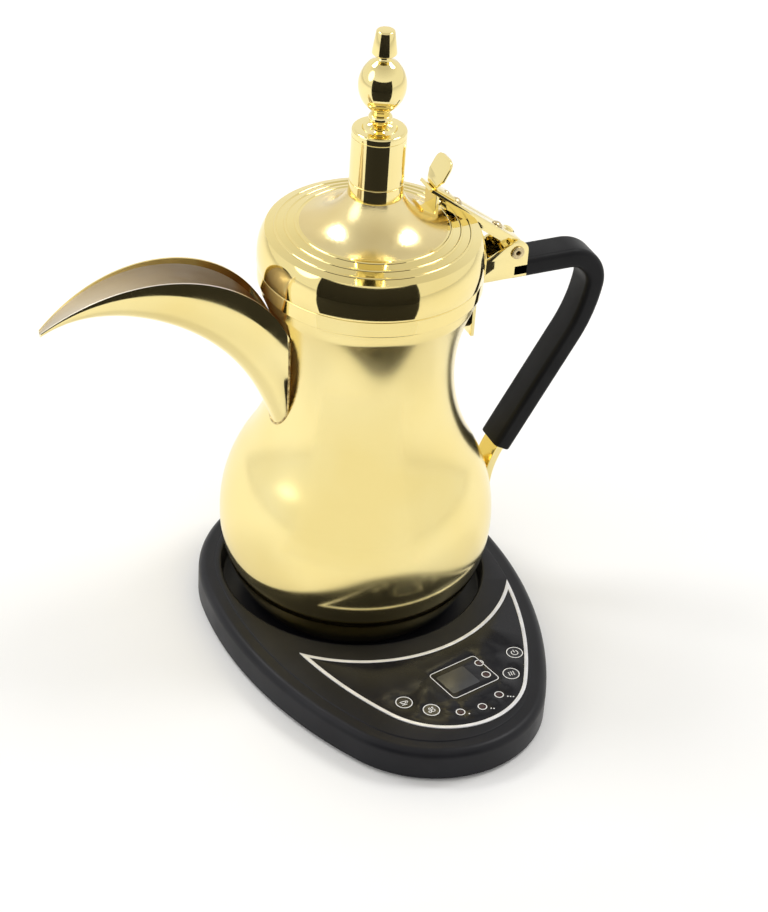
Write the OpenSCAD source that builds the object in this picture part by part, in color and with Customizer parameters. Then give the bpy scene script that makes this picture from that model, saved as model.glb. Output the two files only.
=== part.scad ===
// Electric dallah: a gold coffee pot with a hinged lid on a round-plug power base.
// Millimetres. The pot's axis is Z, the table is z = 0, the spout points to -X,
// the handle to +X and the control panel to -Y.

/* [Base] */
// radius of the base around the pot
base_r = 73; // [66:0.5:90]
// radius of the base at its panel end
base_front_r = 53.5; // [44:0.5:62]
// distance from the pot axis to the panel end's centre
base_reach = 88; // [74:1:110]
// radius of the long side curves
base_side_r = 200; // [160:5:400]
// height of the base's top face
base_h = 17; // [14:0.5:24]
// rounding of the top edge
base_round = 4; // [2:0.5:6]
// wall of the black mouldings
base_wall = 2.4; // [1.6:0.2:3.2]
// thickness of the rubber feet
foot_h = 1.2; // [0.8:0.2:2.5]
// radius of the well that the pot stands in
well_r = 62; // [57:0.5:66]
// height of the well's floor
well_floor_z = 5.5; // [5:0.5:7]
// bore of the cable outlet
gland_bore_r = 3.2; // [2:0.1:4.5]

/* [Panel] */
// radius of the panel's inner edge, around the pot axis
panel_inner_r = 76; // [70:0.5:84]
// distance from the base's edge to the panel
panel_inset = 15.5; // [12:0.5:22]
// sideways offset of the panel
panel_shift = 5.5; // [0:0.5:8]
// angle of the display
panel_tilt = 13; // [0:1:20]
// width of the silver border
border_w = 1.7; // [1:0.1:3]
// radius of a button
button_r = 4; // [3:0.1:5]
// travel of a button
button_travel = 0.5; // [0.3:0.1:0.8]
// radius of a status light
led_r = 1.6; // [1:0.1:2.2]
// width of the display window
display_w = 27; // [20:0.5:32]
// height of the display window
display_h = 20; // [14:0.5:24]

/* [Pot] */
// greatest radius of the belly
belly_r = 63.8; // [56:0.2:68]
// height of the widest point
belly_z = 50; // [44:1:60]
// radius of the belly's curve, seen from the side
belly_curve = 70; // [64:1:80]
// radius of the waist
waist_r = 40.5; // [34:0.5:46]
// radius of the waist's curve, seen from the side
waist_curve = 90; // [70:1:120]
// outer radius of the mouth
mouth_r = 48.4; // [44:0.2:52]
// height of the mouth's rim
rim_z = 182.5; // [170:0.5:200]
// height of the pot's underside above the table
pot_z = 7; // [6.5:0.1:9]
// wall of the pot
pot_wall = 1; // [0.6:0.1:1.6]
// height of the heated floor
floor_z = 22; // [18:0.5:30]
// height of the collar around the mouth
collar_h = 7.6; // [5:0.2:12]

/* [Spout] */
// reach of the spout's tip from the pot axis
spout_reach = 151.5; // [130:0.5:170]
// how far the tip lies below the rim
spout_tip_drop = 6.5; // [-4:0.5:18]
// how far the spout's crest rises above the rim
spout_crest = 16.5; // [8:0.5:22]
// how far the lowest point of the weld lies below the rim
spout_root_drop = 79.5; // [66:0.5:84]
// half width of the channel at its root
spout_half_w = 12.6; // [9:0.2:15]
// wall of the spout
spout_wall = 1.2; // [0.8:0.1:2]

/* [Lid] */
// how far the lid's edge stands out beyond the mouth
lid_overhang = 2.2; // [1.6:0.1:4]
// wall of the lid
lid_wall = 1; // [0.7:0.1:1.6]
// radius of the column
column_r = 12; // [9:0.2:15]
// length of the column
column_h = 31; // [24:0.5:40]
// greatest radius of the finial
finial_r = 10.4; // [8:0.1:12]
// how far the lid's liner reaches into the mouth
liner_h = 5; // [3:0.5:9]

/* [Handle] */
// distance of the hinge pin from the lid's edge
hinge_reach = 17.9; // [15:0.1:22]
// how far the hinge pin lies below the rim
hinge_drop = 3; // [1:0.5:5]
// outer radius of the tubular pin
pin_r = 2; // [1.5:0.1:2.6]
// running clearance around the pin
pin_fit = 0.05; // [0.02:0.01:0.09]
// slope of the lid's strap
strap_slope = 36.4; // [30:0.2:42]
// width of the lid's strap
strap_w = 12; // [9:0.5:14]
// width of the handle bar
bar_w = 12.8; // [10:0.1:15]
// thickness of the handle bar
bar_t = 4; // [3:0.1:5]
// how far the handle's upper run lies below the hinge pin
grip_drop = 9.5; // [9:0.1:13]
// width of the grip sleeve
grip_w = 16; // [14:0.2:20]
// thickness of the grip sleeve
grip_t = 9.6; // [8:0.2:12]
// radius of the tight bend
bend_r = 14.5; // [12:0.5:20]
// how far the grip's lower end stands off the belly
grip_off = 7.2; // [5:0.1:10]
// height of the grip's lower end above the belly's widest point
grip_end_up = 21.5; // [16:0.5:30]
// thickness of the bracket's sheet
ear_t = 1.5; // [1:0.1:2]

/* [Hidden] */
$fn = 96;

// clearances
join_gap = 0.02;     // between curved parts fixed to one another
part_gap = 0.05;     // around parts dropped into a recess
drop_gap = 0.1;      // between stacked parts that are put together loose
slip_gap = 0.3;      // around a part that slides by hand
big = 400;           // larger than anything here

gold = [0.93, 0.76, 0.36];
steel = [0.72, 0.70, 0.66];
black = [0.07, 0.07, 0.08];
rubber = [0.04, 0.04, 0.04];
brass = [0.80, 0.62, 0.30];
silver = [0.85, 0.85, 0.86];
board = [0.05, 0.25, 0.12];
white = [0.9, 0.9, 0.88];
red = [0.75, 0.1, 0.08];
dark_glass = [0.02, 0.02, 0.025];

// ---- the base's outline: two end circles joined by two side arcs, all tangent ----
side_a = base_side_r - base_r;
side_b = base_side_r - base_front_r;
side_y = (side_a * side_a - side_b * side_b + base_reach * base_reach) / (2 * base_reach);
side_x = sqrt(side_a * side_a - side_y * side_y);
turn_a = atan2(side_y, side_x);                 // where a side arc meets the round end
turn_b = atan2(base_reach - side_y, side_x);    // and where it meets the panel end
function side_x_at(y) = sqrt(base_side_r * base_side_r - (y + side_y) * (y + side_y)) - side_x;

// a hair by which pieces of one sweep sit inside one another, so that they join cleanly
nest = 0.02;
lap = 0.5;

module egg(inset = 0) {
  side_r = base_side_r - inset - nest;
  y_top = side_r * sin(turn_a) - side_y;
  y_low = -side_r * sin(turn_b) - side_y;
  circle(base_r - inset, $fn = 180);
  translate([0, -base_reach]) circle(base_front_r - inset, $fn = 180);
  intersection() {
    translate([-side_x, -side_y]) circle(side_r, $fn = 360);
    translate([side_x, -side_y]) circle(side_r, $fn = 360);
    translate([-big / 2, y_low]) square([big, y_top - y_low]);
  }
}

// the outline with its top edge rounded in fine steps
round_steps = 6;

module egg_rounded(h, r) {
  for (i = [0:round_steps]) {
    a = 90 * i / round_steps;
    linear_extrude(h - r + r * sin(a)) egg(r - r * cos(a));
  }
}

// ---- heights in the base ----
cover_z = foot_h;
cover_t = 2;
shell_z = foot_h + 0.3;
top_t = base_wall;
top_under_z = base_h - top_t;
overlay_t = 0.8;
overlay_proud = 0.3;
overlay_z = base_h + overlay_proud - overlay_t;
overlay_top_z = base_h + overlay_proud;
ridge_inset = panel_inset - border_w - panel_shift - 0.5;
ridge_drop = 0.6;
well_wall_r = well_r + base_wall;
well_edge_r = 1.6;
rest_ring_w = 4;
rest_z = pot_z - drop_gap;
floor_under_z = well_floor_z - 1.8;
boss_r = 3.5;
screw_r = 1.5;
screw_head_r = 3;
screw_head_h = 1.2;
screw_len = 8;
screw_room = 0.4;        // between a screw's head and the shell's wall
screw_circle = base_r - base_wall - screw_head_r - screw_room;
screw_back_a = 27;
// the front pair stands beside the panel end, just inside the side walls
screw_front_y = -base_reach + 16;
screw_front_x = side_x_at(screw_front_y) - base_wall - boss_r - 1.1;
screw_at = [for (s = [-1, 1]) each [
  [s * screw_circle * cos(screw_back_a), screw_circle * sin(screw_back_a)],
  [s * screw_front_x, screw_front_y]]];

// ---- the cable outlet, at the back ----
gland_r = gland_bore_r + 1.8;
gland_z = 8.7;
gland_in = base_r - 7;
gland_len = 15;
gland_collar = 0.4;

// ---- the connector in the middle of the well ----
conn_r = 19;
conn_h = 4;
conn_top_z = well_floor_z + conn_h;
post_r = 5;
post_fit = 0.1;
post_top_z = conn_top_z + 4.5;
post_flange_r = 8;
post_flange_h = 1.2;
ring_at = [10.5, 14.5];
ring_w = 1.4;
ring_h = 1.2;

// ---- panel places, [x, y] from the centre of the panel end ----
panel_c = [0, -base_reach];
button_at = [for (p = [[43.1, -0.4], [35, -13.3], [-19, -14.9], [-9.6, -23.7]]) panel_c + p];
led_at = [for (p = [[24.5, -1.6], [24, -10], [2, -29.4], [12.8, -29.4], [23.4, -24.6]]) panel_c + p];
display_at = panel_c + [13.9, -8.2];
button_gap = 0.3;
cap_flange = 1;
cap_flange_h = 1;
switch_h = 2.2;
board_t = 1.2;
cap_under_z = top_under_z - cap_flange_h - 0.1;
switch_top_z = cap_under_z - button_travel - 0.1;
board_z = switch_top_z - switch_h - board_t;
board_top_z = board_z + board_t;

module panel_outline(inset = 0) {
  difference() {
    translate([panel_shift, 0]) egg(panel_inset + inset);
    circle(panel_inner_r + inset, $fn = 240);
    translate([-big / 2, -panel_inner_r * 0.38]) square([big, big]);
  }
}

module display_outline(grow = 0) {
  translate(display_at) rotate(panel_tilt)
    rounded_rect(display_w + 2 * grow, display_h + 2 * grow, 2 + grow);
}

module rounded_rect(w, h, r) {
  square([w - 2 * r, h], center = true);
  square([w, h - 2 * r], center = true);
  for (x = [-1, 1], y = [-1, 1])
    translate([x * (w / 2 - r), y * (h / 2 - r)]) circle(r, $fn = 32);
}

// ---- the pot's side profile: a belly arc and a waist arc, tangent ----
belly_cx = belly_r - belly_curve;
waist_cx = waist_r + waist_curve;
waist_z = belly_z + sqrt(pow(belly_curve + waist_curve, 2) - pow(waist_cx - belly_cx, 2));
tangent_up = (waist_z - belly_z) / (belly_curve + waist_curve);
shell_low_z = pot_z + 1;

module pot_profile(inset = 0, z_low = shell_low_z, z_high = rim_z) {
  z_turn = belly_z + (belly_curve - inset) * tangent_up;
  intersection() {
    translate([0, z_low]) square([big, z_high - z_low]);
    union() {
      intersection() {
        translate([belly_cx, belly_z]) circle(belly_curve - inset, $fn = 180);
        square([big, z_turn]);
      }
      difference() {
        translate([0, z_turn]) square([waist_cx, waist_z - z_turn]);
        translate([waist_cx, waist_z]) circle(waist_curve + inset, $fn = 240);
      }
      difference() {
        translate([0, waist_z - 1]) square([mouth_r - inset, big]);
        translate([waist_cx, waist_z]) circle(waist_curve + inset, $fn = 240);
      }
    }
  }
}

module pot_solid(inset = 0, z_low = shell_low_z, z_high = rim_z) {
  rotate_extrude($fn = 144) pot_profile(inset, z_low, z_high);
}

function waist_at(z) = waist_cx - sqrt(waist_curve * waist_curve - (z - waist_z) * (z - waist_z));
function belly_at(z) = belly_cx + sqrt(belly_curve * belly_curve - (z - belly_z) * (z - belly_z));

// ---- lid ----
lid_r = mouth_r + lid_overhang;
collar_r = lid_r - 0.4;
seat_gap = 0.3;                       // the dark seam between lid and collar
lid_z = rim_z + seat_gap;
skirt_z = rim_z + 5;                  // height of the lid's greatest radius
shoulder_z = rim_z + 16.5;
shoulder_r = lid_r - 3.1;
skirt_in = lid_r - shoulder_r;
skirt_curve = (pow(shoulder_z - skirt_z, 2) + skirt_in * skirt_in) / (2 * skirt_in);
cone_r = shoulder_r - 14.5;
cone_z = shoulder_z + 3.5;
neck_r = column_r + 0.5;
neck_z = shoulder_z + 19;
cone_curve = 27.4;
cone_land = 0.4;                      // flat ring at the foot of the cone
chord_d = [cone_r - cone_land - neck_r, neck_z - cone_z];
chord = norm(chord_d);
chord_off = sqrt(cone_curve * cone_curve - chord * chord / 4);
cone_cx = neck_r + chord_d[0] / 2 + chord_d[1] / chord * chord_off;
cone_cz = cone_z + chord_d[1] / 2 + chord_d[0] / chord * chord_off;
column_top_z = neck_z + column_h;

// inset is measured square to the surface
module lid_profile(inset = 0) {
  translate([0, lid_z]) square([lid_r - inset, skirt_z - lid_z]);
  intersection() {
    translate([lid_r - skirt_curve, skirt_z]) circle(skirt_curve - inset, $fn = 180);
    translate([0, skirt_z]) square([big, shoulder_z - inset - skirt_z]);
  }
  translate([0, skirt_z]) square([lid_r * 0.7, shoulder_z - inset - skirt_z]);
  translate([0, -inset]) {
    polygon([[0, shoulder_z - 1], [shoulder_r - inset - 0.3, shoulder_z - 1],
      [shoulder_r - inset - 0.3, shoulder_z], [cone_r, cone_z], [0, cone_z]]);
    difference() {
      translate([0, cone_z - 1]) square([cone_r - 0.1, neck_z - cone_z + 1]);
      translate([cone_cx, cone_cz]) circle(cone_curve, $fn = 160);
    }
  }
}

// ---- the strap between lid and hinge, in its own frame ----
// origin at the pin, X up along the strap to the lid, Y across, Z square to its top
hinge_x = lid_r + hinge_reach;
hinge_z = rim_z - hinge_drop;
strap_t = 1.5;
strap_lip = 3;
strap_over_lid = 0.1;
// the strap's underside just clears the lid's shoulder
knuckle_r = strap_t + strap_over_lid
  + (shoulder_r - hinge_x) * sin(strap_slope) + (shoulder_z - hinge_z) * cos(strap_slope);
strap_len = 58;
strap_end_x = hinge_x - strap_len * cos(strap_slope) + knuckle_r * sin(strap_slope);
strap_end_z = hinge_z + strap_len * sin(strap_slope) + knuckle_r * cos(strap_slope);
rivet_at = [12.5, 39.2];    // large rivets, along the strap
thumb_at = 46.6;            // and the small one behind the thumb plate
thumb_x = strap_len - 1.8;
thumb_foot_t = 1;
ear_y = bar_w / 2 + 0.1;

module on_strap() {
  translate([hinge_x, 0, hinge_z]) rotate([0, strap_slope, 0]) mirror([1, 0, 0]) children();
}

// ---- the handle's centre line: a straight, two bends one way, a straight, a bend back ----
grip_z = hinge_z - grip_drop;
grip_end_z = belly_z + grip_end_up;
grip_end_x = belly_r + grip_off;
bend_end = -8;                // directions out of the two bends, in degrees
sweep_end = -29.5;
sweep_r = 75;
foot_r = 45;
foot_turn = 35.5;
function ray(a) = [cos(a), sin(a)];
run_dir = [sin(sweep_end), -cos(sweep_end)];
// from the start of the tight bend to the start of the straight run
bends = [0, -bend_r] + (bend_r - sweep_r) * ray(bend_end) + sweep_r * ray(sweep_end);
run_len = (grip_z + bends[1] - grip_end_z) / cos(sweep_end);
bend_x = grip_end_x - bends[0] - run_len * run_dir[0];
bend_c = [bend_x, grip_z - bend_r];
sweep_c = bend_c + (bend_r - sweep_r) * ray(bend_end);
sweep_p = sweep_c + sweep_r * ray(sweep_end);
foot_c = [grip_end_x, grip_end_z] + foot_r * ray(sweep_end);
grip_x = hinge_x + 6.3;
bar_x = hinge_x - 11;
bar_rivet_x = bar_x + 5;
bar_rivet_r = 1.5;

// ---- the bracket between the handle and the pot ----
back_x = collar_r + join_gap;
bracket_low_z = grip_z - bar_t / 2 - ear_t;
bracket_top_z = rim_z - 6.5;
ear_out = ear_y + ear_t;
leg_rivet_z = grip_z - 27;
leg_low_z = leg_rivet_z - 6;
leg_half = 5;
leg_rivet_r = 1.6;

// ---- the spout and the way into it ----
spout_tip_z = rim_z - spout_tip_drop;
spout_root_z = rim_z - spout_root_drop;
vent_z = [rim_z - 52.5, rim_z - 24.5];
vent_half = 7.5;

// ---- under the pot's floor ----
plate_t = 3;
plate_r = belly_at(floor_z - plate_t) - pot_wall - 6.5;
element_r = 3;
element_ring_r = plate_r - 13;
thermostat_h = 2.5;
cup_r = belly_at(shell_low_z) - 0.6;
cup_in_r = belly_at(shell_low_z) - pot_wall - 1.2;
cup_top_z = pot_z + 4.5;
rest_ring_r = cup_r - 7.2;

// draws its child section, x across the thickness and y across the width, along the path
module along_arc(c, r, a, turn, over = 0) {
  more = sign(turn) * over / r * 57.3;
  translate([c[0], 0, c[1]]) rotate([90, 0, 0]) rotate([0, 0, a - more])
    rotate_extrude(angle = turn + 2 * more, $fn = 180) translate([r, 0]) children();
}

module along_line(p, dir, len) {
  a = atan2(dir[1], dir[0]);
  translate([p[0], 0, p[1]]) rotate([0, -a, 0]) rotate([90, 0, 90]) linear_extrude(len)
    rotate(90) children();
}

module bar_section(grow = 0) {
  rounded_rect(bar_t + 2 * grow, bar_w + 2 * grow, 0.6);
}

module grip_section(grow = 0) {
  difference() {
    rounded_rect(grip_t + 2 * grow, grip_w + 2 * grow, 2.4);
    bar_section(0.05 - grow);
  }
}

module collar_solid(grow = 0) {
  translate([0, 0, rim_z - collar_h - grow])
    cylinder(r = collar_r + grow, h = collar_h + 2 * grow, $fn = 144);
}

// =============================== base ===============================

module base_shell() {
  color(black) difference() {
    union() {
      difference() {
        translate([0, 0, shell_z]) egg_rounded(base_h - ridge_drop - shell_z, base_round);
        translate([0, 0, shell_z - 1]) linear_extrude(top_under_z - shell_z + 1) egg(base_wall);
      }
      // the raised top inside the ridge line
      translate([0, 0, top_under_z]) linear_extrude(base_h - top_under_z) egg(ridge_inset);
      translate([0, 0, floor_under_z])
        cylinder(r = well_wall_r, h = base_h - 1 - floor_under_z, $fn = 180);
      for (p = screw_at) translate([p[0], p[1], cover_z + cover_t + drop_gap])
        cylinder(r = boss_r, h = top_under_z - cover_z - cover_t, $fn = 32);
    }
    // the well with a rounded lip
    translate([0, 0, well_floor_z]) cylinder(r = well_r, h = big, $fn = 180);
    translate([0, 0, base_h]) rotate_extrude($fn = 180) difference() {
      translate([0, -well_edge_r]) square([well_r + well_edge_r, well_edge_r + 1]);
      translate([well_r + well_edge_r, -well_edge_r]) circle(well_edge_r, $fn = 32);
    }
    translate([0, 0, overlay_z]) linear_extrude(big) panel_outline(-border_w - part_gap);
    for (p = button_at) translate([p[0], p[1], 0])
      cylinder(r = button_r + button_gap, h = big, $fn = 48);
    for (p = led_at) translate([p[0], p[1], board_top_z])
      cylinder(r = led_r + part_gap, h = big, $fn = 32);
    translate([0, 0, board_top_z]) linear_extrude(big) display_outline(-1);
    for (p = screw_at) translate([p[0], p[1], 0])
      cylinder(r = screw_r + 0.02, h = cover_z + cover_t + screw_len, $fn = 32);
    translate([0, 0, floor_under_z - 1]) cylinder(r = post_r + 1.5, h = big, $fn = 48);
    // the cable outlet
    translate([0, gland_in - 1, gland_z]) rotate([-90, 0, 0])
      cylinder(r = gland_r + part_gap, h = 20, $fn = 48);
    translate([-big / 2, -big / 2, -big + shell_z]) cube([big, big, big]);
  }
  // ribs that the pot rests on
  color(black) difference() {
    translate([0, 0, well_floor_z]) cylinder(r = rest_ring_r, h = rest_z - well_floor_z, $fn = 144);
    translate([0, 0, well_floor_z - 1]) cylinder(r = rest_ring_r - rest_ring_w, h = 4, $fn = 144);
  }
}

module base_cover() {
  color(black) difference() {
    translate([0, 0, cover_z]) linear_extrude(cover_t) egg(base_wall + 0.1);
    for (p = screw_at) translate([p[0], p[1], cover_z - 1]) {
      cylinder(r = screw_r + 0.1, h = 10, $fn = 32);
      cylinder(r = screw_head_r + 0.1, h = 1 + screw_head_h, $fn = 32);
    }
    // vents under the supply board
    for (i = [-3:3]) translate([i * 5, 10 - base_reach, cover_z - 1])
      linear_extrude(10) rounded_rect(2, 14, 0.9);
  }
}

module anti_slip_ring() {
  color(rubber) difference() {
    cylinder(r = 58, h = foot_h, $fn = 144);
    translate([0, 0, -1]) cylinder(r = 50, h = foot_h + 2, $fn = 144);
  }
}

module front_pads() {
  color(rubber) for (x = [-1, 1])
    translate([x * 28, -base_reach - 27, 0]) cylinder(r = 7, h = foot_h, $fn = 48);
}

module cover_screws() {
  color(silver) for (p = screw_at) translate([p[0], p[1], cover_z]) difference() {
    union() {
      cylinder(r = screw_head_r, h = screw_head_h, $fn = 32);
      cylinder(r = screw_r, h = screw_len, $fn = 32);
    }
    for (a = [0, 90]) rotate([0, 0, a]) translate([-1.7, -0.3, -1]) cube([3.4, 0.6, 1.7]);
  }
}

module panel_overlay() {
  color(dark_glass) difference() {
    translate([0, 0, overlay_z]) linear_extrude(overlay_t) panel_outline();
    for (p = button_at) translate([p[0], p[1], 0])
      cylinder(r = button_r + button_gap, h = big, $fn = 48);
    for (p = led_at) translate([p[0], p[1], 0]) cylinder(r = led_r + part_gap, h = big, $fn = 32);
    linear_extrude(big) display_outline(join_gap);
  }
}

module panel_border() {
  color(silver) translate([0, 0, overlay_z]) linear_extrude(overlay_t + 0.15) difference() {
    panel_outline(-border_w);
    panel_outline(-join_gap);
  }
}

module display_lens() {
  color(dark_glass) difference() {
    translate([0, 0, overlay_z]) linear_extrude(overlay_t) display_outline();
    for (p = led_at) translate([p[0], p[1], 0]) cylinder(r = led_r + part_gap, h = big, $fn = 32);
  }
}

module display_module() {
  color(white) translate([display_at[0], display_at[1], board_top_z + 0.02])
    rotate([0, 0, panel_tilt]) translate([-3.5 - 7, -6, 0]) cube([14, 12, overlay_z - board_top_z - 0.3]);
}

module status_leds() {
  color(red) for (p = led_at) translate([p[0], p[1], board_top_z + 0.02])
    cylinder(r = led_r, h = overlay_top_z - board_top_z - 0.02, $fn = 32);
}

module control_board() {
  color(board) translate([0, 0, board_z]) linear_extrude(board_t) difference() {
    translate([5, 0]) egg(13);
    circle(well_wall_r + 4, $fn = 180);
    translate([-big / 2, -well_wall_r - 5.6]) square([big, big]);
    for (p = screw_at) translate(p) circle(boss_r + 1, $fn = 32);
  }
}

module tact_switches() {
  color(steel) for (p = button_at) translate([p[0], p[1], board_top_z]) {
    translate([-3, -3, 0]) cube([6, 6, switch_h - 0.7]);
    cylinder(r = 1.7, h = switch_h, $fn = 32);
  }
}

module power_board() {
  z = cover_z + cover_t;
  top_z = z + board_t;
  translate([0, -base_reach, 0]) {
    color(board) translate([-22, -24, z]) cube([44, 34, board_t]);
    color(black) translate([-18, -20, top_z]) cube([14, 17, board_z - top_z - 0.8]);
    color(brass) translate([2, -18, top_z]) cube([14, 12, board_z - top_z - 1.2]);
  }
}

module base_connector() {
  color(black) difference() {
    union() {
      translate([0, 0, well_floor_z]) cylinder(r = conn_r, h = conn_h, $fn = 96);
      translate([0, 0, floor_under_z]) cylinder(r = post_r + 1.4, h = 3, $fn = 48);
    }
    cylinder(r = post_r + post_fit, h = big, $fn = 48);
    translate([0, 0, conn_top_z - post_flange_h - 0.2])
      cylinder(r = post_flange_r + slip_gap, h = 5, $fn = 64);
    for (r = ring_at) translate([0, 0, conn_top_z - ring_h])
      tube(r - ring_w / 2, r + ring_w / 2, 5);
  }
}

module tube(r_in, r_out, h) {
  difference() {
    cylinder(r = r_out, h = h, $fn = 96);
    translate([0, 0, -1]) cylinder(r = r_in, h = h + 2, $fn = 96);
  }
}

module contact_rings() {
  color(brass) for (r = ring_at) translate([0, 0, conn_top_z - ring_h])
    tube(r - ring_w / 2 + join_gap, r + ring_w / 2 - join_gap, ring_h - 0.3);
}

module cord_gland() {
  color(rubber) translate([0, gland_in, gland_z]) rotate([-90, 0, 0]) difference() {
    union() {
      cylinder(r = gland_r, h = gland_len, $fn = 48);
      translate([0, 0, 2]) cylinder(r = gland_r + gland_collar, h = 2, $fn = 48);
    }
    translate([0, 0, -1]) cylinder(r = gland_bore_r, h = gland_len + 2, $fn = 48);
  }
}

module button(i) {
  p = button_at[i];
  h = overlay_top_z - cap_under_z;
  color(black) translate([p[0], p[1], cap_under_z]) {
    cylinder(r = button_r + cap_flange, h = cap_flange_h, $fn = 48);
    cylinder(r = button_r, h = h - 0.3, $fn = 48);
    cylinder(r = button_r - 0.3, h = h, $fn = 48);
  }
}

module button_on() { button(0); }
module button_warm() { button(1); }
module button_brew() { button(2); }
module button_boil() { button(3); }

// =============================== pot ===============================

module connector_post() {
  color(brass) {
    translate([0, 0, well_floor_z - 1])
      cylinder(r = post_r, h = post_top_z - well_floor_z + 1, $fn = 48);
    translate([0, 0, conn_top_z - post_flange_h])
      cylinder(r = post_flange_r, h = post_flange_h, $fn = 64);
  }
}

module pot_shell() {
  color(gold) difference() {
    pot_solid();
    pot_solid(pot_wall, shell_low_z - 1, rim_z + 1);
    // the way from the pot into the spout
    translate([-big, -vent_half, vent_z[0]]) cube([big, 2 * vent_half, vent_z[1] - vent_z[0]]);
  }
}

module collar_band() {
  edge_r = 0.8;
  low_z = rim_z - collar_h;
  color(gold) rotate_extrude($fn = 144) difference() {
    union() {
      translate([mouth_r, low_z]) square([collar_r - edge_r - mouth_r, collar_h]);
      translate([mouth_r, low_z + edge_r]) square([collar_r - mouth_r, collar_h - 2 * edge_r]);
      for (z = [low_z + edge_r, rim_z - edge_r]) translate([collar_r - edge_r, z]) circle(edge_r, $fn = 24);
    }
    translate([0, low_z - 2]) square([mouth_r + join_gap, collar_h + 4]);
  }
}

// the spout is lofted between its top edge and its keel; t runs from 0 at the root to 1 at the tip
function mix(a, b, t) = a + (b - a) * t;
function bez(p, t) = len(p) == 1 ? p[0] : bez([for (i = [0:len(p) - 2]) mix(p[i], p[i + 1], t)], t);
spout_edge = [[-waist_r - 2.5, rim_z - 23], [-waist_r - 12.5, rim_z - 3],
  [-waist_r - 26.5, rim_z + spout_crest - 2], [47.5 - spout_reach, rim_z + spout_crest + 8],
  [20.5 - spout_reach, spout_tip_z + 18], [-spout_reach, spout_tip_z + 1]];
spout_keel = [[0.5 - waist_r, spout_root_z - 6], [-waist_r - 6.5, spout_root_z + 10],
  [-waist_r - 13.5, spout_root_z + 47], [-waist_r - 35.5, spout_tip_z - 9],
  [41.5 - spout_reach, spout_tip_z + 8], [17.5 - spout_reach, spout_tip_z + 10],
  [-spout_reach, spout_tip_z - 1.5]];
spout_steps = 36;
spout_sides = 20;
function spout_half(t) = mix(spout_half_w, 1.6, pow(t, 2.6)) + 0.9 * sin(180 * pow(t, 0.8));
function spout_point(t, a, inset) = let(
    e = bez(spout_edge, t), k = bez(spout_keel, t), d = norm(k - e),
    q = e + (k - e) * max(0, 1 - inset / d) * cos(a))
  [q[0], (spout_half(t) - inset) * sin(a), q[1]];
function spout_ring(t) = concat(
  [for (i = [0:spout_sides]) spout_point(t, -90 + 180 * i / spout_sides, 0)],
  [for (i = [spout_sides:-1:0])
    spout_point(t, -90 + 180 * i / spout_sides, mix(spout_wall, 0.5, t))]);

module loft(rings) {
  m = len(rings[0]);
  n = len(rings);
  points = [for (r = rings) each r];
  sides = [for (j = [0:n - 2], i = [0:m - 1]) let(a = j * m + i, b = j * m + (i + 1) % m)
    each [[a, b, b + m], [a, b + m, a + m]]];
  half = m / 2;
  strips = [for (i = [0:half - 2]) each [[i, m - 1 - i, m - 2 - i], [i, m - 2 - i, i + 1]]];
  first = [for (f = strips) f];
  last = [for (f = strips) [f[2] + (n - 1) * m, f[1] + (n - 1) * m, f[0] + (n - 1) * m]];
  polyhedron(points, concat(sides, first, last), convexity = 6);
}

module spout() {
  color(gold) difference() {
    loft([for (j = [0:spout_steps]) spout_ring(j / spout_steps)]);
    pot_solid(-join_gap);
    collar_solid(join_gap);
  }
}

module spout_strainer() {
  z0 = vent_z[0] - 3;
  z1 = vent_z[1] + 3;
  color(steel) difference() {
    intersection() {
      difference() {
        pot_solid(pot_wall + join_gap, z0, z1);
        pot_solid(pot_wall + join_gap + 0.8, z0 - 1, z1 + 1);
      }
      translate([-big, -vent_half - 3, z0]) cube([big, 2 * vent_half + 6, z1 - z0]);
    }
    for (i = [-1:1], j = [0:5]) translate([0, i * 4.6, vent_z[0] + 3 + j * 4.4])
      rotate([0, -90, 0]) cylinder(r = 1.3, h = 80, $fn = 24);
  }
}

module pot_floor() {
  color(steel) pot_solid(pot_wall + join_gap, floor_z, floor_z + 1.2);
}

module heating_element() {
  color(steel) {
    translate([0, 0, floor_z - plate_t]) cylinder(r = plate_r, h = plate_t, $fn = 96);
    translate([0, 0, floor_z - plate_t - element_r + 0.8]) {
      rotate([0, 0, 20]) rotate_extrude(angle = 320, $fn = 96)
        translate([element_ring_r, 0]) circle(element_r, $fn = 24);
      for (a = [20, -20]) rotate([0, 0, a])
        translate([element_ring_r, 0, -4.4]) cylinder(r = 1.6, h = 5, $fn = 24);
    }
  }
}

module thermostat() {
  color(white) {
    translate([0, 0, floor_z - plate_t - thermostat_h])
      cylinder(r = 13, h = thermostat_h, $fn = 64);
    translate([-17, -5, floor_z - plate_t - thermostat_h + 0.3]) cube([34, 10, thermostat_h - 0.3]);
  }
}

module foot_seal() {
  color(rubber) translate([0, 0, cup_top_z]) tube(cup_in_r - 2.6, cup_in_r, 1.6);
}

module foot_cup() {
  color(black) difference() {
    union() {
      translate([0, 0, pot_z]) cylinder(r = cup_r, h = 1, $fn = 144);
      translate([0, 0, pot_z]) cylinder(r = cup_in_r, h = cup_top_z - pot_z, $fn = 144);
    }
    translate([0, 0, pot_z + 1.6]) tube(conn_r + 5, cup_in_r - 2.6, 10);
    // room for the base's connector
    translate([0, 0, pot_z - 1])
      cylinder(r = conn_r + 1.5, h = conn_top_z + 0.6 - pot_z + 1, $fn = 96);
    cylinder(r = post_r + 3, h = big, $fn = 64);
  }
}

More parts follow.
